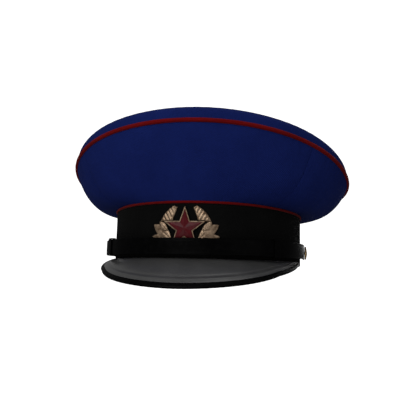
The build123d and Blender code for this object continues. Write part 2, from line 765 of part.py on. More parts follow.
def badge():
    """Wreath pressed to the band's curve, faceted star on it, and the prongs behind."""
    back = BAND_HALF_LENGTH + FIT_GAP
    seat = back + WREATH_WALL
    frame = Plane((0, -seat - FIT_GAP, BADGE_Z), x_dir=(1, 0, 0), z_dir=(0, -1, 0))
    wreath_plane = Plane((0, -BAND_HALF_LENGTH / 2, BADGE_Z), x_dir=(1, 0, 0), z_dir=(0, -1, 0))
    wreath = extrude(wreath_plane * wreath_outline(), BAND_HALF_LENGTH)
    wreath = wreath & oval_ring(FIT_GAP + WREATH_WALL, FIT_GAP, 0, BAND_HEIGHT)
    rim = make_face(Polyline(*star(STAR_RADIUS), close=True))
    well = make_face(Polyline(*star(STAR_RADIUS - STAR_FRAME_RIM), close=True))
    border = extrude(frame * rim, STAR_FRAME_WALL)
    border += extrude(frame * (rim - well), STAR_FRAME_WALL + STAR_FRAME_BEAD)
    floor = frame.offset(STAR_FRAME_WALL + FIT_GAP)
    corners = star(STAR_RADIUS - STAR_FRAME_RIM - FIT_GAP)
    outline = Wire.make_polygon([floor.from_local_coords((x, z, 0)) for x, z in corners])
    apex = Vertex(*floor.from_local_coords((0, 0, ENAMEL_RELIEF)))
    enamel = Solid.make_loft([outline, apex], True)
    leg = oval_ring(STIFFENER_IN - FIT_GAP, STIFFENER_IN - FIT_GAP - PRONG_WALL, 0, BAND_HEIGHT)
    leg_x = PRONG_X + (PRONG_LEG - PRONG_WALL) / 2
    legs = leg & (Pos(leg_x, -BAND_HALF_LENGTH, BADGE_Z) * Box(PRONG_LEG, 2 * HOLE_DEPTH, PRONG_WIDTH))
    depth = -STIFFENER_IN + FIT_GAP + PRONG_WALL + PRONG_FOLD
    stem = Pos(PRONG_X, -back + depth / 2, BADGE_Z) * Box(PRONG_WALL, depth, PRONG_WIDTH)
    stem -= oval_ring(CUT_REACH, FIT_GAP / 2, 0, BAND_HEIGHT)
    prong = legs + stem
    return {
        "badge_wreath": wreath,
        "badge_star_frame": border,
        "badge_star_enamel": enamel,
        "badge_prongs": Compound([prong, mirror(prong, about=Plane.YZ)]),
    }


# ---------------------------------------------------------------- build
def write(parts):
    """One STEP file for each piece."""
    os.makedirs("parts", exist_ok=True)
    for name, shape in parts.items():
        export_step(shape, f"parts/{name}.step")


write({**crown(), **crown_inside(), **lining(), **band()})
write({**visor(), **chin_strap(), **buttons(), **badge()})
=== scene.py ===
from math import atan2, cos, pi, radians, sin, sqrt

import bpy
import numpy as np
from mathutils import Matrix


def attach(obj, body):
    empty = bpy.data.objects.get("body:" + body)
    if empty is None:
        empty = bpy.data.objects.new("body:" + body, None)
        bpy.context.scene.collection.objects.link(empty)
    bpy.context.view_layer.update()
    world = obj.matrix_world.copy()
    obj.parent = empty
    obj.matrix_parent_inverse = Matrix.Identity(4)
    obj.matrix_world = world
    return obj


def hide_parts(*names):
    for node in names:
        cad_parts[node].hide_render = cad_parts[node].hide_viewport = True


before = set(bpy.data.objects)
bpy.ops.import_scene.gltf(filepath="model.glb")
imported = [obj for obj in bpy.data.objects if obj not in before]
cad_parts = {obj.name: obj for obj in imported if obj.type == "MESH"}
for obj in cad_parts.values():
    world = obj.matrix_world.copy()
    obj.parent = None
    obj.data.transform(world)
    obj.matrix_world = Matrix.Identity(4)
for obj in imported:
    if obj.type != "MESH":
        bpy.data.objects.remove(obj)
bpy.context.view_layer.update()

# A military peaked cap. Sizes are in millimetres; build() turns them into metres.
# theta goes round the cap: 0 at the front (-Y), 90 degrees at the wearer's left (+X).
METRE = 0.001
UP = np.array((0.0, 0.0, 1.0))

# Camera: place in metres, angles in degrees, lens and sensor in millimetres
CAMERA_PLACE = (0.08738, -0.47578, -0.01346)
CAMERA_TURN, CAMERA_TIP, CAMERA_ROLL = 10.43, -7.84, 1.4
CAMERA_LENS, CAMERA_SENSOR = 42.86, 36.0
CAMERA_NEAR, CAMERA_FAR = 0.01, 50.0

# Soft boxes: place, target, size in metres and power in watts
SOFT_BOXES = {
    "key": ((-0.45, -1.45, 0.75), (0, 0, 0.04), 0.8, 13),
    "fill": ((1.3, -0.9, 0.35), (0, 0, 0.05), 1.1, 3.2),
    "top": ((0.1, 0.3, 1.5), (0, 0, 0.08), 1.2, 9),
    "back": ((0.3, 1.5, 0.6), (0, 0, 0.06), 1.0, 6.5),
    "low": ((-0.2, -1.3, -0.5), (0, 0, 0.05), 1.0, 6),
}
SKY_STRENGTH = 0.21
STUDIO_REACH, STUDIO_LOW = 12.0, -0.7

# Band
BAND_HALF_WIDTH = 86.5
BAND_HALF_LENGTH = 105.0
BAND_END_RADIUS = 76.0
BAND_HEIGHT = 44.8
COVER_WALL = 1.3
COVER_TOP = 43.7
WALL_LOW = 45.9
STIFFENER_IN = -3.8
SWEATBAND_OUT = -6.0
SWEATBAND_WALL = 1.0
SWEATBAND_TOP = 36.0
SWEATBAND_LOW = 0.3
PAD_HALF_ANGLE = 36.0
PAD_LOW, PAD_TOP, PAD_WALL = 5.0, 29.0, 1.4
LAP_REACH = 92.0
COVER_STEP_ANGLE, COVER_STEP_TURN = 79.0, 2.0
SWEATBAND_SEAM, SWEATBAND_STITCH, SWEATBAND_THREAD = 3.2, 2.4, 0.22
BOW_DROP, BOW_GAP, BOW_RIBBON = 6.0, 1.4, 0.12

# Crown
RING_HALF_WIDTH = 130.2
RING_HALF_LENGTH = 133.0
RING_SHIFT = 7.2
RING_WAVES = (82.5, 15.0, 8.1, -2.2)
DOME_HEIGHT = 20.9
DOME_POWER = 3.9
CLOTH_WALL = 1.4
WALL_REACH, WALL_RISE_FRONT, WALL_RISE_SIDE = 0.69, 0.32, -0.09
CROWN_PIPING_RADIUS = 1.7
BAND_PIPING_RADIUS = 1.0
QUARTERS = {"front": (-48.0, 48.0), "left": (48.0, 132.0), "back": (132.0, 228.0), "right": (-132.0, -48.0)}
SEAM_GAP = 0.15

# Lining
LINING_WALL = 0.6
LINING_INSET, LINING_DROP = 6.0, 2.0
LINING_LOW, LINING_RISE, LINING_TURN = 30.0, 5.0, 0.25
LINING_REACH, LINING_CLIMB = 0.75, 0.2
LINING_DOME = 15.0
SHIELD_HALF_LENGTH, SHIELD_HALF_WIDTH = 62.0, 44.0
SHIELD_WALL, SHIELD_GAP = 0.3, 0.6
SHIELD_SEAM, SHIELD_STITCH, SHIELD_THREAD = 0.97, 2.1, 0.2

# Visor
VISOR_REACH, VISOR_DROP = 29.0, 23.0
VISOR_HALF_ANGLE = 77.5
VISOR_END = 0.96
VISOR_TAPER, VISOR_PLAN_POWER, VISOR_DROP_POWER, VISOR_SHOULDER = 1.8, 1.05, 1.38, 1.45
VISOR_ROOT_FRONT, VISOR_ROOT_END = 1.8, 3.0
VISOR_WALL, VISOR_LINING_WALL = 1.7, 0.5
FLANGE_MIDDLE = -1.85
BINDING_WIDTH, BINDING_PROUD, BINDING_SQUARE = 3.6, 0.45, 0.62
VISOR_LINING_END, VISOR_LINING_INSET, VISOR_LAYER_GAP = 0.94, 1.0, 0.1

# Chin strap
STRAP_RADIUS, STRAP_CENTRE_Y = 87.2, -22.4
STRAP_WALL, STRAP_LAYER = 1.4, 1.5
STRAP_HALF_WIDTH = 6.4
STRAP_TILT = 1.1
STRAP_OVERLAP = 55.0
KEEPER_ANGLE, KEEPER_WIDTH, KEEPER_WALL, KEEPER_GAP = 50.0, 6.5, 0.7, 0.25
STRAP_CORNER, STRAP_EDGE, STRAP_LINE = 3.0, 0.6, 1.6
KEEPER_BOXY, LAYER_GAP = 0.16, 0.1
BUTTON_Y, BUTTON_Z = 3.0, 12.5
BUTTON_SEAT, BUTTON_RADIUS = 90.4, 6.0

# Badge
BADGE_Z = 24.9
BADGE_BACK = 105.1
STAR_PLANE = 106.2
STAR_Z = 24.3
STAR_RADIUS, STAR_WAIST, STAR_RIM = 17.4, 0.40, 3.0

END_Y = BAND_HALF_LENGTH - BAND_END_RADIUS
SIDE_RADIUS = (BAND_HALF_WIDTH**2 + END_Y**2 - BAND_END_RADIUS**2) / (2 * (BAND_HALF_WIDTH - BAND_END_RADIUS))
SIDE_X = SIDE_RADIUS - BAND_HALF_WIDTH
JOIN_ANGLE = atan2(SIDE_X, END_Y)


# ------------------------------------------------------------------ camera and light
def set_camera():
    """A camera a little to the wearer's left of the front, just below the band, looking slightly up."""
    turn, tip, roll = radians(CAMERA_TURN), radians(CAMERA_TIP), radians(CAMERA_ROLL)
    back = np.array((sin(turn) * cos(tip), -cos(turn) * cos(tip), sin(tip)))
    level = np.array((cos(turn), sin(turn), 0.0))
    right = cos(roll) * level + sin(roll) * np.cross(back, level)
    matrix = np.eye(4)
    matrix[:3, :4] = np.stack([right, np.cross(back, right), back, CAMERA_PLACE], axis=1)
    camera = bpy.data.objects.new("camera", bpy.data.cameras.new("camera"))
    camera.data.lens, camera.data.sensor_width = CAMERA_LENS, CAMERA_SENSOR
    camera.matrix_world = Matrix(matrix.tolist())
    camera.data.clip_start, camera.data.clip_end = CAMERA_NEAR, CAMERA_FAR
    bpy.context.collection.objects.link(camera)
    bpy.context.scene.camera = camera


def area_light(name, place, target, size, power):
    """A square soft box at place, facing target, in metres and watts."""
    lamp = bpy.data.lights.new(name, "AREA")
    lamp.size, lamp.energy = size, power
    light = bpy.data.objects.new(name, lamp)
    back = np.array(place) - np.array(target)
    back /= np.linalg.norm(back)
    right = np.cross(UP, back)
    right /= np.linalg.norm(right)
    matrix = np.eye(4)
    matrix[:3, :4] = np.stack([right, np.cross(back, right), back, place], axis=1)
    light.matrix_world = Matrix(matrix.tolist())
    bpy.context.collection.objects.link(light)


def set_light():
    """Soft boxes round the cap, and an even grey sky."""
    for name, box in SOFT_BOXES.items():
        area_light(name, *box)
    world = bpy.data.worlds.new("studio")
    world.use_nodes = True
    sky = world.node_tree.nodes["Background"]
    sky.inputs["Color"].default_value = (1, 1, 1, 1)
    sky.inputs["Strength"].default_value = SKY_STRENGTH
    bpy.context.scene.world = world
    bpy.context.scene.view_settings.view_transform = "Standard"


# ------------------------------------------------------------------ finishes
class Finish:
    """A material while its nodes are being joined. Colours are linear, lengths are in metres."""

    def __init__(self, name, colour=(0.5, 0.5, 0.5), **sockets):
        self.material = bpy.data.materials.new(name)
        self.material.use_nodes = True
        self.nodes = self.material.node_tree.nodes
        self.shader = self.nodes["Principled BSDF"]
        self.set(self.shader, {"Base Color": (*colour, 1), **sockets})
        place = self.nodes.new("ShaderNodeTexCoord")
        self.place, self.uv = place.outputs["Object"], place.outputs["UV"]

    def set(self, node, inputs):
        """Gives sockets, by name or number, a value or a link."""
        for key, value in inputs.items():
            if isinstance(value, bpy.types.NodeSocket):
                self.material.node_tree.links.new(value, node.inputs[key])
            else:
                node.inputs[key].default_value = value

    def add(self, kind, inputs, output=0, **settings):
        """A new node's output."""
        node = self.nodes.new("ShaderNode" + kind)
        for key, value in settings.items():
            setattr(node, key, value)
        self.set(node, inputs)
        return node.outputs[output]

    def noise(self, size, detail=3.0, roughness=0.55, source=None):
        """Cloudy noise from 0 to 1 with marks about size across."""
        place = self.place if source is None else source
        look = {"Scale": 1 / size, "Detail": detail, "Roughness": roughness}
        return self.add("TexNoise", {"Vector": place, **look})

    def cells(self, size, feature="F1"):
        """Distance to the nearest of many scattered points, or to the lines between them."""
        return self.add("TexVoronoi", {"Vector": self.place, "Scale": 1 / size}, feature=feature)

    def sums(self, operation, first, second=0.0):
        """One step of arithmetic."""
        return self.add("Math", {0: first, 1: second}, operation=operation)

    def stripes(self, pitch, angle, source=None):
        """Stripes from -1 to 1: the sine of the distance along a direction over the pitch."""
        turn = 2 * pi / pitch
        along = (cos(radians(angle)) * turn, sin(radians(angle)) * turn, 0)
        place = self.uv if source is None else source
        phase = self.add("VectorMath", {0: place, 1: along}, "Value", operation="DOT_PRODUCT")
        return self.sums("SINE", phase)

    def spread(self, value, low, high, to_low=0.0, to_high=1.0):
        """A range of values stretched to another range."""
        return self.add("MapRange", {0: value, 1: low, 2: high, 3: to_low, 4: to_high})

    def mix(self, share, first, second):
        """Two colours mixed."""
        ends = [c if isinstance(c, bpy.types.NodeSocket) else (*c, 1) for c in (first, second)]
        return self.add("Mix", {0: share, 6: ends[0], 7: ends[1]}, 2, data_type="RGBA")

    def tint(self, share, first, second):
        """The base colour, between two colours."""
        self.set(self.shader, {"Base Color": self.mix(share, first, second)})
        return self

    def relief(self, *layers):
        """Bumps laid one on another, each a height from 0 to 1 and its depth in metres."""
        normal = None
        for height, depth in layers:
            inputs = {"Height": height, "Distance": depth, "Strength": 1.0}
            if normal is not None:
                inputs["Normal"] = normal
            normal = self.add("Bump", inputs)
        self.set(self.shader, {"Normal": normal})
        return self


def weave(f, pitch):
    """Plain weave: threads one way over threads the other way."""
    return f.sums("MULTIPLY", f.stripes(pitch, 0), f.stripes(pitch, 90))


def wool(name, dark, light, pitch, depth, sheen):
    """Fulled wool cloth: a soft twill under short felted fibres, a little uneven in colour."""
    nap = {"Sheen Weight": sheen, "Sheen Roughness": 0.45}
    f = Finish(name, light, **{"Roughness": 0.95, "Specular IOR Level": 0.04, **nap})
    clouds = f.noise(0.03, 4)
    fibres = f.noise(0.0007, 5, 0.7)
    shade = f.sums("ADD", f.sums("MULTIPLY", clouds, 0.55), f.sums("MULTIPLY", fibres, 0.45))
    f.tint(f.spread(shade, 0.36, 0.64), dark, light)
    twill = f.stripes(pitch, 63)
    return f.relief((twill, depth), (fibres, 0.00018), (f.noise(0.009, 2), 0.0002)).material


def leather(name, dark, light, roughness, grain, depth, shine=0.45):
    """Grained leather: rounded cells with creases between them, and worn patches."""
    f = Finish(name, light, **{"Specular IOR Level": shine})
    creases = f.spread(f.cells(grain, "DISTANCE_TO_EDGE"), 0.0, 0.12)
    worn = f.noise(0.012, 4)
    f.tint(f.spread(worn, 0.35, 0.68), dark, light)
    f.set(f.shader, {"Roughness": f.spread(worn, 0.3, 0.7, roughness * 0.85, roughness * 1.15)})
    return f.relief((creases, depth), (f.noise(0.0005, 3), depth * 0.3)).material


def lacquer():
    """Lacquered fibreboard of the visor: dark grey under a soft gloss, with faint ripples in the coat."""
    f = Finish(
        "visor_lacquer",
        **{"Specular IOR Level": 0.5, "Coat Weight": 0.35, "Coat Roughness": 0.2, "Coat IOR": 1.45},
    )
    haze = f.noise(0.02, 3)
    f.tint(f.spread(haze, 0.35, 0.65), (0.038, 0.038, 0.038), (0.048, 0.048, 0.048))
    f.set(f.shader, {"Roughness": f.spread(haze, 0.3, 0.7, 0.36, 0.44)})
    return f.relief((f.noise(0.006, 2), 0.00006), (f.noise(0.0006, 3), 0.000008)).material


def patent(name):
    """Patent leather of the strap: black, glossy, with shallow ripples and fine scratches."""
    f = Finish(name, **{"Specular IOR Level": 0.015, "Coat Weight": 0.004, "Coat Roughness": 0.12})
    scuffs = f.noise(0.004, 5, 0.7)
    f.tint(f.spread(scuffs, 0.45, 0.75), (0.0008, 0.0008, 0.0009), (0.002, 0.002, 0.0021))
    f.set(f.shader, {"Roughness": f.spread(scuffs, 0.35, 0.75, 0.3, 0.46)})
    return f.relief((f.noise(0.004, 2), 0.00001), (f.cells(0.0009), 0.000003)).material


def metal(name, dark, light, roughness):
    """Stamped plated metal, darker with tarnish in random patches."""
    f = Finish(name, light, Metallic=0.85)
    tarnish = f.noise(0.0035, 5, 0.65)
    f.tint(f.spread(tarnish, 0.35, 0.65), dark, light)
    f.set(f.shader, {"Roughness": f.spread(tarnish, 0.3, 0.7, roughness * 0.8, roughness * 1.25)})
    return f.relief((f.noise(0.0004, 3), 0.000012), (f.noise(0.002, 2), 0.00003)).material


def enamel():
    """Fired glass enamel over metal: deep red, darker and lighter in cloudy patches, under a clear gloss."""
    f = Finish(
        "star_enamel",
        **{"Roughness": 0.4, "Specular IOR Level": 0.08, "Coat Weight": 0.03, "Coat Roughness": 0.12},
    )
    pool = f.noise(0.004, 4, 0.6)
    f.tint(f.spread(pool, 0.3, 0.7), (0.040, 0.002, 0.004), (0.075, 0.004, 0.007))
    return f.relief((f.noise(0.0015, 2), 0.00003)).material


def satin(name, dark, light):
    """Lining satin: close fine threads with a soft shine, and long faint creases."""
    f = Finish(name, light, **{"Roughness": 0.42, "Specular IOR Level": 0.4, "Sheen Weight": 0.15})
    slub = f.noise(0.008, 4, 0.6)
    f.tint(f.spread(slub, 0.35, 0.65), dark, light)
    return f.relief((f.stripes(0.0006, 0), 0.00002), (f.noise(0.014, 3), 0.0005)).material


def woven(name, dark, light, pitch, depth, roughness=0.9):
    """Coarse plain-woven cloth, its threads a little uneven, with painted shade in the hollows between the
    threads.
    """
    f = Finish(name, light, **{"Roughness": roughness, "Specular IOR Level": 0.15})
    threads = f.spread(weave(f, pitch), -1, 1)
    slub = f.noise(0.003, 4)
    # Colour: lighter on the thread crowns and darker between them as painted shade, plus uneven slub tone at
    # random.
    f.tint(f.sums("MULTIPLY", f.sums("ADD", threads, slub), 0.5), dark, light)
    return f.relief((threads, depth), (slub, depth)).material


def thread(name, dark, light, pitch=0.0009):
    """Twisted cotton: slanting strands, the colour darker in the grooves between them as painted shade."""
    f = Finish(name, light, **{"Roughness": 0.85, "Specular IOR Level": 0.2})
    ply_ridges_and_shade = f.spread(f.stripes(pitch, 45, f.place), -1, 1)
    # Colour follows the ply ridges: painted shade in the grooves between them.
    f.tint(ply_ridges_and_shade, dark, light)
    return f.relief((ply_ridges_and_shade, 0.0001), (f.noise(0.0004, 3), 0.00005)).material


def board():
    """Grey pressed board of the stiffener, speckled with fibres."""
    f = Finish("stiffener_board", **{"Roughness": 0.9, "Specular IOR Level": 0.2})
    specks = f.noise(0.0012, 6, 0.7)
    f.tint(f.spread(specks, 0.35, 0.65), (0.16, 0.14, 0.11), (0.32, 0.28, 0.22))
    return f.relief((specks, 0.0001)).material


def plastic(name, dark, light):
    """Drawn plastic with fine lines and a soft shine."""
    f = Finish(name, light, Roughness=0.45)
    lines = f.noise(0.002, 4)
    f.tint(f.spread(lines, 0.35, 0.65), dark, light)
    return f.relief((lines, 0.00003)).material


def foam():
    """Open-cell foam of the forehead pad, its colour darker in the pores as painted shade."""
    f = Finish("pad_foam", **{"Roughness": 0.95, "Specular IOR Level": 0.1})
    pore_depth_and_shade = f.cells(0.0008)
    # Colour darker at the bottom of each pore: painted shade in the pits.
    f.tint(f.spread(pore_depth_and_shade, 0.1, 0.7), (0.24, 0.19, 0.1), (0.5, 0.42, 0.26))
    return f.relief((pore_depth_and_shade, 0.0002)).material


def film():
    """Clear plastic film with a faint yellow cast and long ripples."""
    f = Finish(
        "clear_film",
        (0.93, 0.9, 0.8),
        **{"Roughness": 0.12, "Transmission Weight": 0.95, "IOR": 1.42, "Specular IOR Level": 0.5},
    )
    return f.relief((f.noise(0.02, 2), 0.0002)).material


def studio_white():
    """Plain pale floor and backdrop."""
    f = Finish("studio_white", (0.9, 0.9, 0.9), **{"Roughness": 1.0, "Emission Strength": 1.05})
    f.set(f.shader, {"Emission Color": (1, 1, 1, 1)})
    marks = f.noise(0.5, 2)
    return f.tint(marks, (0.9, 0.9, 0.9), (0.92, 0.92, 0.92)).material


NAVY = wool("navy_wool", (0.0042, 0.0090, 0.066), (0.0058, 0.0125, 0.087), 0.0012, 0.00005, 0.0)
RED = wool("red_piping_wool", (0.082, 0.0016, 0.0022), (0.13, 0.0028, 0.0035), 0.0008, 0.00004, 0.02)
# Band piping: the crown piping's red wool made darker, as painted shade under the crown's overhang.
RED_PAINTED_SHADE = wool("band_piping_wool", (0.07, 0.0014, 0.002), (0.115, 0.0026, 0.0032), 0.0008, 0.00004, 0.02)
BLACK_CLOTH = wool("band_velvet", (0.0018, 0.0018, 0.0018), (0.003, 0.003, 0.0029), 0.0009, 0.00004, 0.005)
LACQUER = lacquer()
UNDERSIDE = leather(
    "visor_pebbled_leather", (0.006, 0.010, 0.008), (0.012, 0.018, 0.015), 0.5, 0.0012, 0.0001
)
BINDING = leather(
    "binding_leather", (0.0006, 0.0006, 0.0007), (0.0014, 0.0014, 0.0015), 0.42, 0.001, 0.00002, 0.03
)
PATENT = patent("strap_patent_leather")
KEEPER = patent("keeper_patent_leather")
SWEAT = leather("sweatband_leather", (0.095, 0.042, 0.018), (0.16, 0.078, 0.036), 0.5, 0.0014, 0.00006)
BRASS = metal("button_brass", (0.16, 0.10, 0.045), (0.42, 0.28, 0.13), 0.36)
GILT = metal("badge_gilt", (0.11, 0.068, 0.040), (0.32, 0.23, 0.155), 0.42)
STEEL = metal("hoop_steel", (0.25, 0.25, 0.26), (0.5, 0.5, 0.52), 0.32)
ENAMEL = enamel()
SATIN = satin("lining_satin", (0.030, 0.022, 0.017), (0.052, 0.040, 0.031))
SATIN_SIDE = satin("lining_side_satin", (0.026, 0.019, 0.015), (0.046, 0.035, 0.027))
CANVAS = woven("front_canvas", (0.30, 0.25, 0.17), (0.52, 0.45, 0.33), 0.0009, 0.00015)
RIBBON = woven("bow_ribbon", (0.012, 0.009, 0.007), (0.03, 0.023, 0.018), 0.0005, 0.00004, 0.6)
COTTON = thread("cotton_cord", (0.42, 0.38, 0.30), (0.68, 0.63, 0.53))
SEWING = thread("sewing_thread", (0.16, 0.10, 0.055), (0.34, 0.23, 0.13), 0.0003)
BOARD = board()
REED = plastic("reed_plastic", (0.10, 0.055, 0.03), (0.15, 0.085, 0.05))
STAY = plastic("stay_plastic", (0.55, 0.53, 0.48), (0.7, 0.68, 0.62))
FOAM = foam()
FILM = film()


# ------------------------------------------------------------------ grids of points
def corners(grid):
    """The four corners of every cell of a grid, in order round the cell."""
    return np.stack([grid[:-1, :-1], grid[1:, :-1], grid[1:, 1:], grid[:-1, 1:]], axis=2)


def lengths(grid):
    """Mean distance walked along the rows, and across the columns, at each point of a grid."""
    walked = []
    for axis in (0, 1):
        steps = np.linalg.norm(np.diff(grid, axis=axis), axis=2).mean(axis=1 - axis)
        walked.append(np.concatenate([[0.0], np.cumsum(steps)]))
    return np.stack(np.meshgrid(*walked, indexing="ij"), axis=2)


def patch(grid, loop=False, ring=False, poles=(False, False), folded=False, plan=False):
    """Points, faces and UVs of one closed surface, from a grid of rows by columns by 3.

    loop: the last row is the first row again. ring: the last column is the first one again.
    poles: the first or the last row is a single point. folded: the first and the last row
    close up on themselves. UVs are lengths on the surface in metres, or x and y if plan.
    """
    rows, columns = grid.shape[:2]
    number = np.arange(rows * columns).reshape(rows, columns)
    if folded:
        half = (columns - 1) // 2
        number[[0, -1], half:-1] = number[[0, -1], :half][:, ::-1]
    for row, pole in zip((0, -1), poles):
        if pole:
            number[row] = number[row, 0]
    if loop:
        number[-1] = number[0]
    if ring:
        number[:, -1] = number[:, 0]
    quads = corners(number).reshape(-1, 4)
    uv = corners(grid[..., :2] if plan else lengths(grid)).reshape(-1, 4, 2) * METRE
    points = grid.reshape(-1, 3)
    a, b, c, d = (points[quads[:, k]] for k in range(4))
    if (a * np.cross(b, c)).sum() + (a * np.cross(c, d)).sum() < 0:
        quads, uv = quads[:, ::-1], uv[:, ::-1]
    keep = quads != np.roll(quads, 1, axis=1)
    used, loops = np.unique(quads[keep], return_inverse=True)
    return points[used], loops.ravel(), keep.sum(axis=1), uv[keep]


def build(name, patches, finish, body="cap", stands_for=(), sharp=40.0):
    """One Blender piece from closed surfaces, riding on a body of the frame."""
    starts = np.cumsum([0] + [len(p[0]) for p in patches[:-1]])
    points = np.concatenate([p[0] for p in patches]) * METRE
    loops = np.concatenate([p[1] + start for p, start in zip(patches, starts)])
    totals = np.concatenate([p[2] for p in patches])
    uv = np.concatenate([p[3] for p in patches])
    mesh = bpy.data.meshes.new(name)
    mesh.vertices.add(len(points))
    mesh.vertices.foreach_set("co", points.astype(np.float32).ravel())
    mesh.loops.add(len(loops))
    mesh.loops.foreach_set("vertex_index", loops.astype(np.int32))
    mesh.polygons.add(len(totals))
    mesh.polygons.foreach_set("loop_start", (np.cumsum(totals) - totals).astype(np.int32))
    mesh.polygons.foreach_set("loop_total", totals.astype(np.int32))
    mesh.update(calc_edges=True)
    mesh.uv_layers.new(name="UVMap").data.foreach_set("uv", uv.astype(np.float32).ravel())
    mesh.validate()
    mesh.shade_smooth()
    mesh.set_sharp_from_angle(angle=radians(sharp))
    mesh.materials.append(finish)
    made = bpy.data.objects.new(name, mesh)
    bpy.context.collection.objects.link(made)
    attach(made, body)
    if stands_for:
        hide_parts(*stands_for)
    return made


def normals(grid, loop=False):
    """Unit normals of a grid: the rows' direction crossed with the columns' direction."""
    if loop:
        wide = np.concatenate([grid[-2:-1], grid, grid[1:2]])
        along = wide[2:] - wide[:-2]
    else:
        along = np.gradient(grid, axis=0)
    normal = np.cross(along, np.gradient(grid, axis=1))
    return normal / np.linalg.norm(normal, axis=2, keepdims=True)


def closed(face, back, loop=False):
    """The solid between two grids of points: rims closed and, unless it is a loop, ends folded shut."""
    ring = np.concatenate([face, back[:, ::-1], face[:, :1]], axis=1)
    if loop:
        return patch(ring, loop=True, ring=True)
    partner = np.concatenate([ring[:, -2::-1], ring[:, -2:-1]], axis=1)
    middle = (ring + partner) / 2
    return patch(np.concatenate([middle[:1], ring, middle[-1:]]), ring=True, folded=True)


def slab(face, wall, loop=False):
    """A sheet behind a grid of points: the face, and the same face moved in along its normals by wall."""
    return closed(face, face - normals(face, loop) * wall, loop)


def bowl(outer, inner):
    """A domed sheet: from the middle of its inside, out round the rim, to the middle of its outside."""
    return patch(np.concatenate([inner[::-1], outer]), ring=True, poles=(True, True), plan=True)


def grid_of(shape, first, second):
    """A function of two parameters worked out on a grid of them."""
    return shape(*np.meshgrid(first, second, indexing="ij"))


def carried(path, section):
    """A section, as sideways and upward distances, carried round a closed path of points."""
    wide = np.concatenate([path[-2:-1], path, path[1:2]])
    ahead = wide[2:] - wide[:-2]
    ahead /= np.linalg.norm(ahead, axis=1, keepdims=True)
    side = np.cross(ahead, UP)
    side /= np.linalg.norm(side, axis=1, keepdims=True)
    lift = np.cross(side, ahead)
    grid = path[:, None] + section[..., :1] * side[:, None] + section[..., 1:] * lift[:, None]
    return patch(grid, loop=True, ring=True)


def stitches(middles, aheads, outs, length, radius):
    """Short rounded threads: an ellipsoid for each middle, long in its own direction."""
    slope = np.linspace(0, pi, 6)[:, None, None]
    round_it = np.linspace(0, 2 * pi, 7)[None, :, None]
    made = []
    for middle, ahead, out in zip(middles, aheads, outs):
        side = np.cross(ahead, out)
        spread = np.cos(round_it) * out + np.sin(round_it) * side
        grid = middle + ahead * np.cos(slope) * length / 2 + spread * np.sin(slope) * radius
        made.append(patch(grid, ring=True, poles=(True, True)))
    return made


def squared(wave, power):
    """A wave from -1 to 1 pressed towards a square one: its sign times a power of its size."""
    return np.sign(wave) * np.abs(wave) ** power


def near(distance, width):
    """1 at a line, falling away smoothly over a width."""
    return np.exp(-((distance / width) ** 2))


def cut(grid):
    """Works out a sheet's flat size from its grid, its longest row by its longest column, and its cells'
    corners; it keeps and returns nothing.
    """
    widths = [np.linalg.norm(np.diff(grid, axis=k), axis=2).sum(axis=k).max() * METRE for k in (0, 1)]
    a, b, c, d = (corners(grid)[:, :, k] for k in range(4))


# ------------------------------------------------------------------ the cap's lines
def stack(x, y, z):
    """Points from three arrays."""
    return np.stack(np.broadcast_arrays(x, y, z), axis=-1)


def oval_point(theta, offset, z):
    """The band's four-centre oval: from the centre of its arc, out along the normal of an ellipse."""
    angle = np.arctan2(BAND_HALF_LENGTH * np.sin(theta), BAND_HALF_WIDTH * np.cos(theta))
    across, ahead = np.sin(angle), -np.cos(angle)
    end = np.abs(ahead) > cos(JOIN_ANGLE)
    centre_x = np.where(end, 0.0, -np.sign(across) * SIDE_X)
    centre_y = np.where(end, np.sign(ahead) * END_Y, 0.0)
    reach = np.where(end, BAND_END_RADIUS, SIDE_RADIUS) + offset
    return stack(centre_x + reach * across, centre_y + reach * ahead, z)


def ring_height(theta, share=1.0):
    """Height of the crown ring: a mean, a tilt, a saddle and an easing of the front."""
    mean, tilt, saddle, ease = RING_WAVES
    waves = share * tilt * np.cos(theta) + share**2 * saddle * np.cos(2 * theta)
    return mean + waves + share**3 * ease * np.cos(3 * theta)


def ring_point(theta, inset=0.0, lower=0.0):
    """The crown ring: an ellipse in plan, moved in and down."""
    x = (RING_HALF_WIDTH - inset) * np.sin(theta)
    y = RING_SHIFT - (RING_HALF_LENGTH - inset) * np.cos(theta)
    return stack(x, y, ring_height(theta) - lower)


def wall_rise(theta):
    """How early the wall turns up: from the side's value to the front's with the squared cosine."""
    return WALL_RISE_SIDE + (WALL_RISE_FRONT - WALL_RISE_SIDE) * np.maximum(np.cos(theta), 0) ** 2


def wall_point(theta, share):
    """Outer face of the crown wall: a quadratic curve from the band's top out to the piping."""
    foot, head = oval_point(theta, 0, WALL_LOW), ring_point(theta)
    bend = foot + stack(WALL_REACH, WALL_REACH, wall_rise(theta)) * (head - foot)
    v = (share * (1 - CROWN_PIPING_RADIUS / (2 * np.linalg.norm(head - bend, axis=-1))))[..., None]
    return foot * (1 - v) ** 2 + bend * 2 * v * (1 - v) + head * v**2


def dome_point(theta, level, inset=0.0, height=DOME_HEIGHT, lower=0.0):
    """Superellipse dome over the ring: share is sin^p, rise is cos^p of the level, p = 2 / power."""
    share = np.sin(level) ** (2 / DOME_POWER)
    rise = np.abs(np.cos(level)) ** (2 / DOME_POWER) * height
    x = share * (RING_HALF_WIDTH - inset) * np.sin(theta)
    y = RING_SHIFT - share * (RING_HALF_LENGTH - inset) * np.cos(theta)
    return stack(x, y, ring_height(theta, share) - lower + rise)


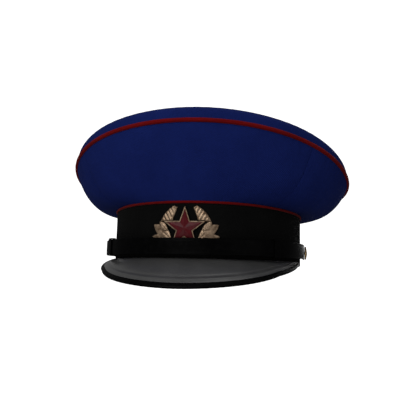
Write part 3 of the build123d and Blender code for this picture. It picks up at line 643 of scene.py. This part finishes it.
def lining_point(theta, share):
    """Outer face of the lining's side: straight up inside the band, then a cubic out to the hoop."""
    offset = STIFFENER_IN - 0.5
    low = np.clip(share / LINING_TURN, 0, 1)
    upright = oval_point(theta, offset, LINING_LOW + (WALL_LOW - LINING_LOW) * low)
    start, knee = oval_point(theta, offset, WALL_LOW), oval_point(theta, offset, WALL_LOW + LINING_RISE)
    end = ring_point(theta, LINING_INSET, LINING_DROP)
    bend = knee + stack(LINING_REACH, LINING_REACH, wall_rise(theta) + LINING_CLIMB) * (end - knee)
    v = np.clip((share - LINING_TURN) / (1 - LINING_TURN), 0, 1)[..., None]
    curve = start * (1 - v) ** 3 + knee * 3 * v * (1 - v) ** 2 + bend * 3 * v**2 * (1 - v) + end * v**3
    return np.where(v > 0, curve, upright)


def visor_share(theta):
    """0 at the visor's front, 1 at its ends."""
    return np.minimum(np.abs(np.degrees(theta)) / VISOR_HALF_ANGLE, 1.0)


def visor_reach(theta):
    """How far the visor stands out from the band."""
    return VISOR_REACH * (1 - visor_share(theta) ** VISOR_TAPER) ** VISOR_PLAN_POWER


def visor_root(theta):
    """Height of the visor's upper face at the band."""
    return VISOR_ROOT_FRONT + (VISOR_ROOT_END - VISOR_ROOT_FRONT) * visor_share(theta) ** 2


def visor_point(theta, reach):
    """Upper face of the visor: it drops from its root with a power of the reach."""
    taper = 1 - visor_share(theta) ** VISOR_TAPER
    edge = VISOR_ROOT_END - VISOR_DROP * taper**VISOR_DROP_POWER
    share = np.maximum(reach, 0) / np.maximum(visor_reach(theta), 1e-6)
    root = visor_root(theta)
    return oval_point(theta, reach, root - (root - edge) * share**VISOR_SHOULDER)


def binding_width(theta):
    """Width of the visor's edge binding, less where the visor is narrow."""
    reach = visor_reach(theta)
    return BINDING_WIDTH * reach / (reach + BINDING_WIDTH)


TURN = np.linspace(0, 2 * pi, 481)


# ------------------------------------------------------------------ crown
def make_top():
    """Crown top: the dome, eased into its seam with small gathers that die away inwards."""
    levels = np.concatenate([[90.0, 89.9, 89.5], np.linspace(89, 70, 18), np.linspace(66, 0, 26)])
    theta, level = np.meshgrid(-TURN, np.radians(levels[::-1]))
    outer = dome_point(theta, level)
    inward = np.linalg.norm(outer - ring_point(theta), axis=2)
    gather = np.sin(theta * 83 + 1.7 * np.sin(theta * 9)) * np.sin(theta * 5 + 1)
    sag = 0.5 * np.sin(outer[..., 0] / 23 + 1) * np.sin(outer[..., 1] / 29) * near(inward - 130, 90)
    outer[..., 2] += (0.08 * gather * near(inward - 9, 8) + sag) * np.minimum(inward / 4, 1)
    inner = dome_point(theta, level, CLOTH_WALL, DOME_HEIGHT - CLOTH_WALL)
    inner[..., 2] += (outer - dome_point(theta, level))[..., 2]
    made = build(
        "crown_top", [bowl(outer[::-1], inner[::-1])], NAVY,
        stands_for=["crown_top_panel"],
    )


def make_wall(name, start, end):
    """Quarter of the crown wall: its ends dip into the seams, with small puckers beside them."""
    gap = SEAM_GAP / 2
    theta = np.radians(np.linspace(start + gap, end - gap, 181))
    theta, share = np.meshgrid(theta, np.linspace(0, 1, 49), indexing="ij")
    face = wall_point(theta, share)
    radius = np.linalg.norm(face[..., :2], axis=2)
    to_seam = radius * np.minimum(theta - radians(start), radians(end) - theta)
    wave = 0.35 * np.sin(theta * 7 + share * 3) * np.sin(pi * share) ** 2
    pucker = 0.05 * np.sin(share * 2 * pi * 9 + start) * near(to_seam - 2.5, 3) * np.sin(pi * share)
    ease = 0.10 * np.sin(theta * 95 + 2 * np.sin(theta * 11)) * near(1 - share, 0.12)
    groove = -0.12 * near(to_seam, 0.9)
    face = face + normals(face) * (wave * (1 - near(to_seam, 6)) + pucker + ease + groove)[..., None]
    made = build(
        f"crown_{name}_cloth", [slab(face, CLOTH_WALL)], NAVY,
        stands_for=[f"crown_{name}_wall"],
    )
    cut(face)


def make_piping(name, path, radius, finish, node):
    """Cloth folded round a cord: a tube, a little uneven, with its ends lapped at the back."""
    around = np.linspace(0, 2 * pi, 21)
    lap = near((TURN - pi) * 110, 4.0)
    uneven = 1 + 0.015 * np.sin(TURN * 61 + np.sin(TURN * 7)) + 0.06 * lap
    section = radius * uneven[:, None, None] * np.stack([np.cos(around), np.sin(around)], axis=1)
    build(name, [carried(path, section)], finish, stands_for=[node])


# ------------------------------------------------------------------ lining
def make_lining():
    """Satin top and four sides, each a little creased, and the shield below the top."""
    levels = np.radians(np.concatenate([[90.0, 89.8], np.linspace(89, 70, 14), np.linspace(65, 0, 20)]))
    theta, level = np.meshgrid(-TURN[::2], levels[::-1])
    dome = (LINING_INSET, LINING_DOME, LINING_DROP)
    outer = dome_point(theta, level, *dome)
    inner = dome_point(theta, level, LINING_INSET + LINING_WALL, LINING_DOME - LINING_WALL, LINING_DROP)
    creases = 0.18 * np.sin(theta * 31 + 2 * np.sin(theta * 5)) * np.sin(level) ** 6
    for skin in (outer, inner):
        skin[..., 2] += creases
    made = build(
        "lining_crown", [bowl(outer[::-1], inner[::-1])], SATIN,
        stands_for=["lining_top"],
    )
    for name, (start, end) in QUARTERS.items():
        gap = SEAM_GAP / 2
        angles = np.radians(np.linspace(start + gap, end - gap, 145))
        theta, share = np.meshgrid(angles, np.linspace(0, 1, 33), indexing="ij")
        face = lining_point(theta, share)
        folds = 0.16 * np.sin(theta * 44 + 1.5 * np.sin(theta * 6)) * np.sin(pi * np.clip(share, 0.25, 1))
        face = face + normals(face) * folds[..., None]
        side = build(
            f"lining_{name}", [slab(face, LINING_WALL)], SATIN_SIDE,
            stands_for=[f"lining_{name}_side"],
        )
        cut(face)
    make_shield()


def shield_point(across, along):
    """Lower face of the lining's top over a diamond that points to the front, a gap below it."""
    x = (across - along) * SHIELD_HALF_WIDTH / 2
    y = (across + along) * SHIELD_HALF_LENGTH / 2
    inset = LINING_INSET + LINING_WALL
    share = np.hypot(x / (RING_HALF_WIDTH - inset), y / (RING_HALF_LENGTH - inset))
    rise = (1 - share**DOME_POWER) ** (1 / DOME_POWER) * (LINING_DOME - LINING_WALL)
    height = ring_height(np.arctan2(x, -y), share) - LINING_DROP + rise
    return stack(x, RING_SHIFT + y, height - SHIELD_GAP)


def make_shield():
    """The clear diamond, and a row of stitches along each of its edges."""
    steps = np.linspace(-1, 1, 33)
    face = grid_of(shield_point, steps, steps)
    made = build("shield_film", [slab(face, SHIELD_WALL)], FILM,
                 stands_for=["lining_shield"])
    cut(face)
    side = np.linspace(-SHIELD_SEAM, SHIELD_SEAM, 25)
    full = np.full_like(side, SHIELD_SEAM)
    edges = [(side, full), (side, -full), (full, side), (-full, side)]
    sewn = []
    for across, along in edges:
        middles = shield_point(across, along) - UP * (SHIELD_WALL + 0.05)
        aheads = np.gradient(middles, axis=0)
        aheads /= np.linalg.norm(aheads, axis=1, keepdims=True)
        outs = np.broadcast_to(-UP, middles.shape)
        sewn += stitches(middles, aheads, outs, SHIELD_STITCH, SHIELD_THREAD)
    build("shield_stitches", sewn, SEWING)


# ------------------------------------------------------------------ band
def make_band():
    """Cloth cover, cut away over the visor, with a lapped seam at the back."""
    theta = TURN - pi
    step = np.clip((COVER_STEP_ANGLE - np.abs(np.degrees(theta))) / COVER_STEP_TURN, 0, 1)
    low = (visor_root(theta) + 0.1) * step * step * (3 - 2 * step)
    share = np.concatenate([[0.0, 0.01], np.linspace(0.03, 0.97, 31), [0.99, 1.0]])
    theta, share = np.meshgrid(theta, share, indexing="ij")
    z = low[:, None] + (COVER_TOP - low[:, None]) * share
    turned = -0.5 * (near(share, 0.012) + near(1 - share, 0.012))
    to_seam = LAP_REACH * (pi - np.abs(theta))
    lap = -0.35 * near(to_seam, 1.0) + 0.08 * np.sin(z / 1.7) * near(to_seam - 2.5, 2)
    wave = 0.10 * np.sin(theta * 9 + z / 14) * np.sin(pi * share)
    face = oval_point(theta, turned + lap + wave - 0.1, z)
    made = build("band_cloth", [slab(face, COVER_WALL - 0.1, loop=True)], BLACK_CLOTH,
                 stands_for=["band_cover"])
    cut(face)


def make_sweatband():
    """Leather strip with rolled edges and a lap at the back, and a row of stitches along its foot."""
    theta = TURN - pi
    share = np.concatenate([[0.0, 0.008], np.linspace(0.03, 0.97, 25), [0.992, 1.0]])
    theta, share = np.meshgrid(theta, share, indexing="ij")
    z = SWEATBAND_LOW + (SWEATBAND_TOP - SWEATBAND_LOW) * share
    rolled = 0.25 * (near(share, 0.012) + near(1 - share, 0.012))
    lap = 0.25 * near(LAP_REACH * (pi - np.abs(theta)), 1.2)
    wave = 0.12 * np.sin(theta * 11 + z / 9) * np.sin(pi * share)
    face = oval_point(theta, SWEATBAND_OUT - rolled - lap + wave - 0.05, z)
    made = build("sweatband_strip", [slab(face, SWEATBAND_WALL - 0.1, loop=True)], SWEAT,
                 stands_for=["sweatband"])
    cut(face)
    turns = np.linspace(0, 2 * pi, 161)[:-1]
    middles = oval_point(turns, SWEATBAND_OUT - SWEATBAND_WALL - 0.05, SWEATBAND_SEAM)
    outs = middles - oval_point(turns, SWEATBAND_OUT, SWEATBAND_SEAM)
    outs /= np.linalg.norm(outs, axis=1, keepdims=True)
    sewn = stitches(middles, np.cross(outs, UP), outs, SWEATBAND_STITCH, SWEATBAND_THREAD)
    build("sweatband_stitches", sewn, SEWING)


def make_pad():
    """Forehead pad: foam with rounded edges, thinner where it is stitched across."""
    theta = np.radians(np.linspace(-PAD_HALF_ANGLE, PAD_HALF_ANGLE, 97))
    share = np.linspace(0, 1, 25)
    theta, share = np.meshgrid(theta, share, indexing="ij")
    edge = np.minimum(np.minimum(share, 1 - share) * 8, (1 - np.abs(theta) / theta.max()) * 14)
    round_edge = np.sqrt(np.clip(edge, 0, 1) * (2 - np.clip(edge, 0, 1)))
    channel = 1 - 0.35 * near((share - 0.5) * 24, 1.2)
    half = PAD_WALL / 2 * np.maximum(round_edge * channel, 0.15)
    z = PAD_LOW + (PAD_TOP - PAD_LOW) * share
    middle = STIFFENER_IN - 0.1 - PAD_WALL / 2
    outer, inner = (oval_point(theta, middle + sign * half, z) for sign in (1, -1))
    made = build("forehead_foam", [closed(outer, inner)], FOAM,
                 stands_for=["forehead_pad"])


def make_bow():
    """Small ribbon bow at the back of the sweatband: two flattened loops and a knot."""
    y = END_Y + BAND_END_RADIUS + SWEATBAND_OUT - SWEATBAND_WALL - BOW_GAP
    z = SWEATBAND_TOP - BOW_DROP
    around = np.linspace(0, 2 * pi, 33)
    patches = []
    for side in (1, -1):
        out = 4.2 + 3.8 * np.cos(around)
        deep = 0.42 * np.sin(around) * (1 - 0.5 * np.cos(around))
        tall = 1.6 + 1.2 * np.sin(pi * np.clip(out / 8.0, 0, 1))
        path = stack(side * out, y + deep, z + 0.0 * out)
        wide = np.linspace(-1, 1, 7)
        face = path[:, None] + UP * (wide[None, :, None] * tall[:, None, None])
        patches.append(slab(face, BOW_RIBBON * side, loop=True))
    slope, turn = np.meshgrid(np.linspace(0, pi, 13), np.linspace(0, 2 * pi, 25), indexing="ij")
    around_knot = np.sin(slope)
    knot = stack(
        1.3 * around_knot * np.cos(turn), y + 0.55 * around_knot * np.sin(turn), z + 2.1 * np.cos(slope)
    )
    patches.append(patch(knot, ring=True, poles=(True, True)))
    build("ribbon_bow", patches, RIBBON, stands_for=["sweatband_bow"])


# ------------------------------------------------------------------ visor
def make_visor():
    """Lacquered shell with a shallow raised line inside its edge, pebbled lining, and rolled binding."""
    half = radians(VISOR_HALF_ANGLE * VISOR_END)
    theta, share = np.meshgrid(np.linspace(half, -half, 241), np.linspace(0, 1, 57), indexing="ij")
    edge = visor_reach(theta) - binding_width(theta) + 0.6
    reach = FLANGE_MIDDLE + (edge - FLANGE_MIDDLE) * share
    face = visor_point(theta, reach)
    inside = visor_reach(theta) - binding_width(theta) - reach
    size = np.minimum(visor_reach(theta) / 12, 1)
    line = (0.28 * near(inside - 2.2, 0.9) - 0.16 * near(inside - 4.4, 0.8)) * size
    face = face + normals(face) * line[..., None]
    build("visor_face", [slab(face, VISOR_WALL)], LACQUER, stands_for=["visor_shell"])

    lining_half = half * VISOR_LINING_END
    angles = np.linspace(lining_half, -lining_half, 201)
    theta, share = np.meshgrid(angles, np.linspace(0, 1, 33), indexing="ij")
    edge = visor_reach(theta) - binding_width(theta) + 0.4
    under = visor_point(theta, VISOR_LINING_INSET + (edge - VISOR_LINING_INSET) * share)
    under = under - normals(under) * (VISOR_WALL + VISOR_LAYER_GAP)
    lining = build("visor_underside", [slab(under, VISOR_LINING_WALL)], UNDERSIDE,
                   stands_for=["visor_lining"])
    cut(under)

    theta = np.linspace(-half, half, 321)
    around = np.linspace(0, 2 * pi, 33)
    thick = (BINDING_PROUD + VISOR_WALL + VISOR_LINING_WALL + VISOR_LAYER_GAP) / 2
    across = squared(np.cos(around), BINDING_SQUARE)
    deep = squared(np.sin(around), BINDING_SQUARE)
    theta, across = np.meshgrid(theta, across, indexing="ij")
    width = binding_width(theta)
    reach = visor_reach(theta) - width / 2 * (1 - across)
    surface = visor_point(theta, reach)
    centre = visor_reach(theta) - width / 2
    slope = visor_point(theta, centre + 0.05) - visor_point(theta, centre - 0.05)
    along = np.gradient(surface, axis=0)
    out = np.cross(along, slope)
    out /= np.linalg.norm(out, axis=2, keepdims=True)
    out *= np.where(out[..., 2:] < 0, -1, 1)
    middle = BINDING_PROUD - thick
    wrinkle = 0.03 * np.sin(theta * 160 + 3 * np.sin(theta * 17))
    grid = surface + out * (middle + thick * (deep[None, :] + wrinkle))[..., None]
    ends = grid[[0, -1]].mean(axis=1, keepdims=True) + np.zeros_like(grid[[0, -1]])
    grid = np.concatenate([ends[:1], grid, ends[1:]])
    build("visor_binding", [patch(grid, ring=True, poles=(True, True))], BINDING,
          stands_for=["visor_edge_binding"])


# ------------------------------------------------------------------ chin strap
def tipped(points):
    """Strap pieces, drawn level, turned about the line between the buttons and raised to it."""
    tilt = radians(STRAP_TILT)
    y, z = points[..., 1] - BUTTON_Y, points[..., 2]
    ahead, up = y * cos(tilt) - z * sin(tilt), y * sin(tilt) + z * cos(tilt)
    return stack(points[..., 0], BUTTON_Y + ahead, BUTTON_Z + up)


def strap_rows():
    """Middle line of a strap half at its inner face, its normals and its half widths, from the button on."""
    tab = BUTTON_Y + STRAP_HALF_WIDTH * np.cos(np.linspace(0, pi / 2, 13))[:-1]
    straight = np.concatenate([tab, np.linspace(BUTTON_Y, STRAP_CENTRE_Y, 12)[:-1]])
    front = np.linspace(0, radians(-90 - STRAP_OVERLAP), 241)
    angles = np.concatenate([np.zeros_like(straight), front])
    outs = np.stack([np.cos(angles), np.sin(angles)], axis=1)
    points = STRAP_RADIUS * outs + (0.0, STRAP_CENTRE_Y)
    points[: len(straight), 1] = straight
    to_end = STRAP_RADIUS * (front - front[-1])
    half = np.full(len(points), STRAP_HALF_WIDTH)
    half[: len(tab)] = np.sqrt(np.maximum(STRAP_HALF_WIDTH**2 - (tab - BUTTON_Y) ** 2, 1e-6))
    corner = STRAP_CORNER - np.clip(to_end, 0, STRAP_CORNER)
    half[-len(front):] -= STRAP_CORNER - np.sqrt(STRAP_CORNER**2 - corner**2)
    return points, outs, half


def make_strap(name, layer, side, node):
    """Strap half: rounded edges, a pressed line along each edge, and a gently crowned face."""
    points, outs, half = strap_rows()
    from_edge = np.array((0.0, 0.1, 0.25, 0.45, 0.7, 1.1, 1.35, 1.6, 1.85, 2.1, 3.2, 4.6, 6.4))
    q = np.concatenate([from_edge / STRAP_HALF_WIDTH - 1, 1 - from_edge[-2::-1] / STRAP_HALF_WIDTH])
    depth = half[:, None] * (1 - np.abs(q))
    edge = 1 - np.clip(depth / STRAP_EDGE, 0, 1)
    swell = STRAP_WALL / 2 * np.sqrt(1 - edge**2)
    pressed = -0.06 * near(depth - STRAP_LINE, 0.28)
    crowned = -0.10 * q**2
    middle = layer * STRAP_LAYER + STRAP_WALL / 2
    faces = []
    for offset in (middle + swell + pressed + crowned, middle - swell):
        place = points[:, None] + outs[:, None] * offset[..., None]
        faces.append(stack(place[..., 0], place[..., 1], q * half[:, None]))
    grid = np.concatenate([faces[0], faces[1][:, -2:0:-1], faces[0][:, :1]], axis=1)
    end = grid[-1:].mean(axis=1, keepdims=True) + np.zeros_like(grid[-1:])
    grid = tipped(np.concatenate([grid, end])) * (side, 1, 1)
    strap = patch(grid, ring=True, poles=(True, True))
    build(name, [strap], PATENT, "chin_strap", [node], 35)


def make_keeper(name, side, node, body):
    """Leather loop round both layers: a rounded strip carried round a rounded oblong."""
    low, high = -KEEPER_GAP - KEEPER_WALL / 2, 2 * STRAP_WALL + LAYER_GAP + KEEPER_GAP + KEEPER_WALL / 2
    tall = STRAP_HALF_WIDTH + KEEPER_GAP + KEEPER_WALL / 2
    around = np.linspace(0, 2 * pi, 97)
    radial = (low + high) / 2 + (high - low) / 2 * squared(np.cos(around), KEEPER_BOXY)
    rise = tall * squared(np.sin(around), KEEPER_BOXY)
    turn = np.linspace(0, 2 * pi, 33)
    wide = KEEPER_WIDTH / 2 * squared(np.cos(turn), 0.3)
    thick = KEEPER_WALL / 2 * squared(np.sin(turn), 0.5)
    lengthwise = np.gradient(np.stack([radial, rise], axis=1), axis=0)
    lengthwise[0] = lengthwise[-1] = (0.0, 1.0)
    lengthwise /= np.maximum(np.linalg.norm(lengthwise, axis=1, keepdims=True), 1e-9)
    reach = STRAP_RADIUS + radial[:, None] + thick * lengthwise[:, 1:]
    z = rise[:, None] - thick * lengthwise[:, :1]
    angle = radians(KEEPER_ANGLE) + wide / STRAP_RADIUS
    grid = stack(reach * np.sin(angle), STRAP_CENTRE_Y - reach * np.cos(angle), z)
    grid = tipped(grid) * (side, 1, 1)
    build(name, [patch(grid, loop=True, ring=True)], KEEPER, body, [node])


def make_button(name, side, node, body):
    """Domed brass face with a raised bead at its edge, turned from a profile about X."""
    r_dome = np.linspace(0, 4.7, 14)
    bead = np.linspace(0, pi, 9)
    inner = np.linspace(BUTTON_RADIUS - 0.4, 0, 8)
    outline = np.concatenate([
        np.stack([2.4 - 0.95 * (r_dome / 5.0) ** 2, r_dome], axis=1),
        [(1.28, 5.0)],
        np.stack([1.25 + 0.35 * np.sin(bead), 5.55 - 0.42 * np.cos(bead)], axis=1),
        [(0.9, 6.0), (0.1, 6.0), (0.0, 5.9), (0.0, 5.6)],
        np.stack([0.7 + 1.3 * (1 - (inner / 5.6) ** 2), inner], axis=1),
    ])
    turn = np.linspace(0, 2 * pi, 65)
    x = BUTTON_SEAT + outline[:, :1] + 0 * turn
    y = BUTTON_Y + outline[:, 1:] * np.cos(turn)
    z = BUTTON_Z + outline[:, 1:] * np.sin(turn)
    grid = stack(side * x, y, z)
    build(name, [patch(grid, ring=True, poles=(True, True))], BRASS, body, [node], 50)


# ------------------------------------------------------------------ badge
def on_band(x, z, height):
    """A place in the badge's plane, laid on the band's curve at a height above it."""
    reach = BADGE_BACK - END_Y + height
    return stack(x, -END_Y - np.sqrt(reach**2 - x**2), BADGE_Z + z)


def relief_patch(x, z, height):
    """A raised shape: its upper face, and a flat back on the band."""
    return closed(on_band(x, z, height), on_band(x, z, 0 * height))


def leaf(root, tip, width, base, side, bend=0.0):
    """Leaf from root to tip: swelling then pointed, creased along its rib, with slanting veins."""
    t, q = np.meshgrid(np.linspace(0, 1, 33), np.linspace(-1, 1, 17), indexing="ij")
    half = width / 2 * (np.sin(pi * np.clip(t * 0.93 + 0.07, 0, 1) ** 1.15) ** 0.75 + 0.02)
    (x0, z0), (x1, z1) = root, tip
    length = sqrt((x1 - x0) ** 2 + (z1 - z0) ** 2)
    ahead = np.array((x1 - x0, z1 - z0)) / length
    sway = bend * np.sin(pi * t)
    x = x0 + ahead[0] * length * t - ahead[1] * (q * half + sway)
    z = z0 + ahead[1] * length * t + ahead[0] * (q * half + sway)
    swell = np.sqrt(np.clip(1 - q**2, 0, 1))
    veins = 0.13 * np.sin((t * length - np.abs(q) * half * 1.2) * 2 * pi / 1.7) * swell
    rib = -0.28 * near(q, 0.13) * (1 - t)
    height = base + 0.55 * swell * (1 - 0.3 * t) + veins + rib
    return relief_patch(side * x, z, np.maximum(height, 0.1))


def ear(side):
    """Curved upper leaf of the wreath: between a parabola and a straight inner edge, with slanting ribs."""
    t, q = np.meshgrid(np.linspace(0, 1, 49), np.linspace(0, 1, 25), indexing="ij")
    low, middle, top = (1 - t) * (1 - 2 * t), 4 * t * (1 - t), t * (2 * t - 1)
    outer_x = -20.1 * low - 15.7 * middle - 8.7 * top
    outer_z = 4.7 * low + 12.1 * middle + 17.2 * top
    inner_x, inner_z = -10.1 + 4.0 * t, 5.4 + 10.6 * t
    x, z = inner_x + (outer_x - inner_x) * q, inner_z + (outer_z - inner_z) * q
    ribs = np.sin((x * 0.88 + z * 0.47) * 2 * pi / 2.6)
    edge = np.minimum(np.minimum(q, 1 - q) * 7, np.minimum(t, 1 - t) * 14)
    rise = np.sqrt(np.clip(edge, 0, 1))
    return relief_patch(side * x, z, 0.45 + rise * (0.75 + 0.17 * ribs))


def make_wreath():
    """Sprays at both sides of the star: ribbed ears above, broad veined leaves below, and a tie."""
    patches = []
    for side in (1, -1):
        patches += [
            ear(side),
            leaf((-13.8, -2.4), (-20.4, 4.6), 5.0, 1.2, side, 0.4),
            leaf((-10.8, -9.6), (-25.4, 2.4), 8.2, 0.75, side, -0.6),
            leaf((-9.6, -9.8), (-26.5, -6.7), 6.2, 0.6, side, -0.4),
            leaf((-8.2, -12.2), (-22.4, -13.0), 6.0, 0.45, side, 0.4),
            leaf((-3.0, -15.0), (-16.4, -16.4), 4.8, 0.35, side, 0.3),
        ]
    slope, turn = np.meshgrid(np.linspace(0, 1, 9), np.linspace(-1, 1, 25), indexing="ij")
    bars = 0.18 * np.sin(turn * 4.4 * 2 * pi / 1.6)
    patches.append(relief_patch(4.4 * turn.T, (-17.6 + 4.4 * slope).T, (0.9 + bars).T))
    build("wreath", patches, GILT, stands_for=["badge_wreath"], sharp=50)


def star_line(radius, y):
    """Outline of a five-pointed star, closed, upright in the badge's plane."""
    turn = np.arange(11) * pi / 5 + pi / 2
    reach = np.where(np.arange(11) % 2 == 0, radius, radius * STAR_WAIST)
    return stack(reach * np.cos(turn), np.full(11, -y), STAR_Z + reach * np.sin(turn))


def make_star():
    """Gilt frame with a rounded rim, and the red star in it, faceted from its middle."""
    section = [
        (0.0, 0.0), (0.0, 0.55), (0.25, 0.95), (0.8, 1.2), (1.7, 1.22), (2.5, 1.0), (STAR_RIM, 0.62),
    ]
    rows = [star_line(0.0, STAR_PLANE)]
    rows += [star_line(STAR_RADIUS - inset, STAR_PLANE + height) for inset, height in section]
    rows.append(star_line(0.0, STAR_PLANE + 0.6))
    build("star_frame", [patch(np.stack(rows), ring=True, poles=(True, True))], GILT,
          stands_for=["badge_star_frame"], sharp=35)
    floor = STAR_PLANE + 0.7
    red = STAR_RADIUS - STAR_RIM - 0.1
    facets = [(0.0, 0.0), (red, 0.0), (red - 0.15, 0.22), (0.0, 1.5)]
    rows = [star_line(radius, floor + height) for radius, height in facets]
    build("star_enamel_facets", [patch(np.stack(rows), ring=True, poles=(True, True))], ENAMEL,
          stands_for=["badge_star_enamel"], sharp=8)


# ------------------------------------------------------------------ the frame's own pieces
def finish_frame():
    """Materials for the pieces that keep the frame's shapes."""
    finishes = {
        BOARD: ["band_stiffener"],
        STEEL: ["crown_hoop", "hoop_ferrule"],
        STAY: ["front_stay"],
        CANVAS: ["front_canvas"],
        REED: ["sweatband_reed"],
        COTTON: ["crown_piping_cord", "band_piping_cord"],
        GILT: ["badge_prongs"],
        BRASS: [f"button_{side}_{part}" for side in ("left", "right") for part in ("shank", "washer", "pin")],
    }
    for finish, names in finishes.items():
        for name in names:
            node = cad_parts[name]
            node.data.materials.clear()
            node.data.materials.append(finish)


def make_studio():
    """Floor well below the cap, and a pale backdrop all round; both only seen, so they cast no light."""
    white = studio_white()
    reach, low = STUDIO_REACH, STUDIO_LOW
    turn = np.linspace(0, 2 * pi, 49)
    for name, rows in (
        ("floor", [(0.0, low), (reach * 0.5, low), (reach, low)]),
        ("backdrop", [(reach, low - 8), (reach, 0.0), (reach * 0.7, reach * 0.7), (0.01, reach)]),
    ):
        grid = np.stack([stack(r * np.cos(turn), r * np.sin(turn), z) for r, z in rows])
        mesh = bpy.data.meshes.new(name)
        quads = corners(np.arange(grid.shape[0] * 49).reshape(-1, 49)).reshape(-1, 4)
        mesh.from_pydata(grid.reshape(-1, 3).tolist(), [], quads.tolist())
        mesh.materials.append(white)
        made = bpy.data.objects.new(name, mesh)
        bpy.context.collection.objects.link(made)
        made.visible_diffuse = made.visible_glossy = made.visible_transmission = False
        made.visible_shadow = False


set_camera()
set_light()
make_top()
for quarter, (first, last) in QUARTERS.items():
    make_wall(quarter, first, last)
make_piping("crown_piping_tube", ring_point(TURN), CROWN_PIPING_RADIUS, RED, "crown_piping")
make_piping(
    "band_piping_tube", oval_point(TURN, 0, BAND_HEIGHT), BAND_PIPING_RADIUS, RED_PAINTED_SHADE, "band_piping",
)
make_lining()
make_band()
make_sweatband()
make_pad()
make_bow()
make_visor()
make_strap("strap_left", 1, 1, "strap_left_half")
make_strap("strap_right", 0, -1, "strap_right_half")
make_keeper("keeper_loop_left", 1, "keeper_left", "keeper_left")
make_keeper("keeper_loop_right", -1, "keeper_right", "keeper_right")
make_button("button_left_dome", 1, "button_left_face", "button_left")
make_button("button_right_dome", -1, "button_right_face", "button_right")
make_wreath()
make_star()
finish_frame()
make_studio()
